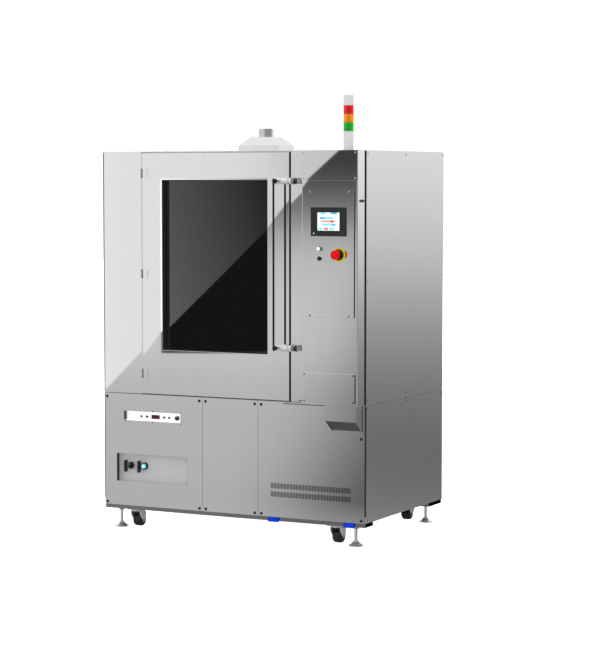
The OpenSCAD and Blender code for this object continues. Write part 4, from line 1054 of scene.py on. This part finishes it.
# Front card: light levels across it, up it and down its slope, as (metres from its middle, level)
SCREEN_ACROSS = [(-2.4, 1.0), (-1.7, 0.93), (-1.0, 0.9), (-0.4, 0.87), (0.2, 0.74), (1.6, 0.66)]
ROOM_UP = [(-2.4, 0.51), (-1.6, 0.55), (-0.8, 0.58), (-0.1, 0.68), (0.5, 0.66), (0.83, 0.6), (1.07, 0.5),
           (1.31, 0.33), (1.55, 0.19), (1.84, 0.09), (2.05, 0.06), (2.4, 0.05)]
ROOM_DOWN_SLOPE = [(0.0, 1.0), (0.5, 0.95), (0.9, 0.82), (1.25, 0.64), (1.6, 0.45), (2.0, 0.28), (2.4, 0.2)]
# The slant where the bright screen ends, and the rectangle of the card that the window mirrors
SLANT = 1.287
GLASS_LEFT, GLASS_RIGHT, GLASS_LOW, GLASS_HIGH = -1.315, -0.09, -0.283, 1.79
GLASS_DARK = 0.1
CRISP = 0.01
# Side card: light levels up it
WALL_UP = [(-2.6, 0.22), (-1.98, 0.2), (-1.5, 0.17), (-1.03, 0.19), (-0.68, 0.235), (-0.32, 0.3),
           (0.27, 0.45), (0.85, 0.645), (1.44, 0.8), (1.97, 0.9), (2.6, 0.98)]
# The room itself, by how far the line of sight climbs: -1 is straight down, 1 straight up
ROOM_GLOSS = [(-1.0, 0.3), (-0.3, 0.42), (0.0, 0.66), (0.3, 0.92), (1.0, 1.0)]
OPEN_SIDE = (0.891, -0.454, 0.0)
SEEN_ROOM = 1.15
SEEN_FLOOR = 1.1
FLOOR_SIZE = 60


def constant(tree, number):
    """A plain number as a socket."""
    fixed = add(tree, "ShaderNodeValue")
    fixed.outputs[0].default_value = number
    return fixed.outputs[0]


def spread(tree, source, low, high, to_low=0.0, to_high=1.0):
    """The range low to high stretched to another one, and held at its ends."""
    span = add(tree, "ShaderNodeMapRange", {"From Min": low, "From Max": high, "To Min": to_low,
                                            "To Max": to_high}, {"Value": source})
    return span.outputs["Result"]


def ramp(tree, source, stops):
    """A smooth curve of light level through (value, level) stops."""
    low, high = stops[0][0], stops[-1][0]
    curve = add(tree, "ShaderNodeFloatCurve", {}, {"Value": spread(tree, source, low, high)})
    line = curve.mapping.curves[0]
    while len(line.points) < len(stops):
        line.points.new(0.5, 0.5)
    for point, (value, level) in zip(line.points, stops):
        point.location = (value - low) / (high - low), level
    curve.mapping.use_clip = False
    curve.mapping.update()
    return curve.outputs["Value"]


def sum_of(tree, source, factor, other, offset=0.0):
    """source * factor + other + offset"""
    scaled = add(tree, "ShaderNodeMath", {"operation": "MULTIPLY_ADD", 1: factor}, {0: source, 2: other})
    return add(tree, "ShaderNodeMath", {"operation": "ADD", 1: offset}, {0: scaled.outputs[0]}).outputs[0]


def product(tree, a, b):
    """a * b"""
    return add(tree, "ShaderNodeMath", {"operation": "MULTIPLY"}, {0: a, 1: b}).outputs[0]


def blend_level(tree, share, low, high):
    """low where the share is 0, high where it is 1."""
    links = {"Factor": share, "A": low, "B": high}
    return add(tree, "ShaderNodeMix", {"data_type": "FLOAT"}, links).outputs[0]


def step_over(tree, source, edge, width):
    """0 below the edge and 1 above it, softened over a width in metres; a negative width turns it round."""
    return spread(tree, source, edge - width / 2, edge + width / 2)


def front_light(tree, across, up):
    """What the door side mirrors: a bright screen cut on a slant, and a dim room that lightens downwards."""
    slant = sum_of(tree, across, -1.0, up)
    screen = ramp(tree, across, SCREEN_ACROSS)
    rise = ramp(tree, up, ROOM_UP)
    fall = ramp(tree, sum_of(tree, up, -0.45, across), ROOM_DOWN_SLOPE)
    steel = blend_level(tree, step_over(tree, slant, SLANT, CRISP), product(tree, rise, fall), screen)
    glow_left = sum_of(tree, across, -0.95, sum_of(tree, up, -0.25, constant(tree, 0.6)))
    glass = blend_level(tree, step_over(tree, slant, SLANT, CRISP), constant(tree, GLASS_DARK), glow_left)
    beside = product(tree, step_over(tree, across, GLASS_LEFT, CRISP),
                     step_over(tree, across, GLASS_RIGHT, -CRISP))
    level = product(tree, step_over(tree, up, GLASS_LOW, CRISP), step_over(tree, up, GLASS_HIGH, -CRISP))
    return blend_level(tree, product(tree, beside, level), steel, glass)


def side_light(tree, across, up):
    """What the right flank mirrors: a wall lit from above that falls off towards the floor."""
    return ramp(tree, up, WALL_UP)


def room_round(tree, across, up, level, left, right, low, high):
    """The card's level between four edges, and the bright room beyond them, softened over SOFT metres."""
    inside = product(tree, product(tree, step_over(tree, across, left - SOFT / 2, SOFT),
                                   step_over(tree, across, right + SOFT / 2, -SOFT)),
                     product(tree, step_over(tree, up, low - SOFT / 2, SOFT),
                             step_over(tree, up, high + SOFT / 2, -SOFT)))
    return blend_level(tree, inside, constant(tree, ROOM_LEVEL), level)


def light_card(name, aim, paint, edges):
    """A tall glowing card that only gloss sees, upright and square to one mirrored line of sight."""
    turn = math.atan2(-aim[0], aim[1]) if aim[1] > 0 else math.atan2(aim[0], -aim[1])
    centre = at(0, 0, 1000) + Vector(aim).normalized() * CARD_FAR
    bpy.ops.mesh.primitive_plane_add(size=CARD_SIZE, location=centre, rotation=(math.pi / 2, 0, turn))
    card = bpy.context.object
    card.name = name
    finish, tree, output = blank(name + "_glow")
    place = add(tree, "ShaderNodeTexCoord")
    parts = add(tree, "ShaderNodeSeparateXYZ", {}, {"Vector": place.outputs["Object"]})
    across, up = parts.outputs["X"], parts.outputs["Y"]
    level = room_round(tree, across, up, paint(tree, across, up), *edges)
    light = add(tree, "ShaderNodeEmission", {}, {"Strength": level})
    tree.links.new(light.outputs["Emission"], output.inputs["Surface"])
    card.data.materials.append(finish)
    card.visible_camera = False
    card.visible_diffuse = False
    card.visible_shadow = False
    card.visible_transmission = False


def set_world():
    """A white room; gloss sees it dimmer towards the floor and towards the open right side."""
    world = bpy.data.worlds.new("studio")
    bpy.context.scene.world = world
    world.use_nodes = True
    tree = world.node_tree
    tree.nodes.clear()
    way = add(tree, "ShaderNodeTexCoord")
    parts = add(tree, "ShaderNodeSeparateXYZ", {}, {"Vector": way.outputs["Generated"]})
    light = spread(tree, parts.outputs["Z"], -0.4, 0.6, 0.55, 1.0)
    shine = ramp(tree, parts.outputs["Z"], ROOM_GLOSS)
    side = add(tree, "ShaderNodeVectorMath", {"operation": "DOT_PRODUCT", 1: OPEN_SIDE},
               {0: way.outputs["Generated"]})
    wall = spread(tree, side.outputs["Value"], 0.42, 0.6, 1.0, 0.5)
    seen = add(tree, "ShaderNodeLightPath")
    gloss = blend_level(tree, seen.outputs["Is Glossy Ray"], light, product(tree, shine, wall))
    power = add(tree, "ShaderNodeMix", {"data_type": "FLOAT", "B": SEEN_ROOM},
                {"Factor": seen.outputs["Is Camera Ray"], "A": gloss})
    sky = add(tree, "ShaderNodeBackground", {"Color": (1, 1, 1, 1)}, {"Strength": power.outputs["Result"]})
    add(tree, "ShaderNodeOutputWorld", {}, {"Surface": sky.outputs["Background"]})


def set_floor():
    """A plain white floor that the camera sees as bright as the room."""
    bpy.ops.mesh.primitive_plane_add(size=FLOOR_SIZE, location=(0, 0, 0))
    floor = bpy.context.object
    floor.name = "floor"
    finish, tree, output = blank("white_studio_floor")
    seen = add(tree, "ShaderNodeLightPath")
    glow = product(tree, seen.outputs["Is Camera Ray"], constant(tree, SEEN_FLOOR))
    body = add(tree, "ShaderNodeBsdfPrincipled", {"Base Color": linear("F4F4F4"), "Roughness": 0.7,
                                                  "Emission Color": linear("FFFFFF")},
               {"Emission Strength": glow})
    tree.links.new(body.outputs["BSDF"], output.inputs["Surface"])
    floor.data.materials.append(finish)
    floor.visible_glossy = False


set_world()
set_floor()
light_card("front_card", FRONT_AIM, front_light, FRONT_EDGES)
light_card("side_card", SIDE_AIM, side_light, SIDE_EDGES)
bpy.context.scene.view_settings.view_transform = "Standard"

bpy.context.view_layer.update()
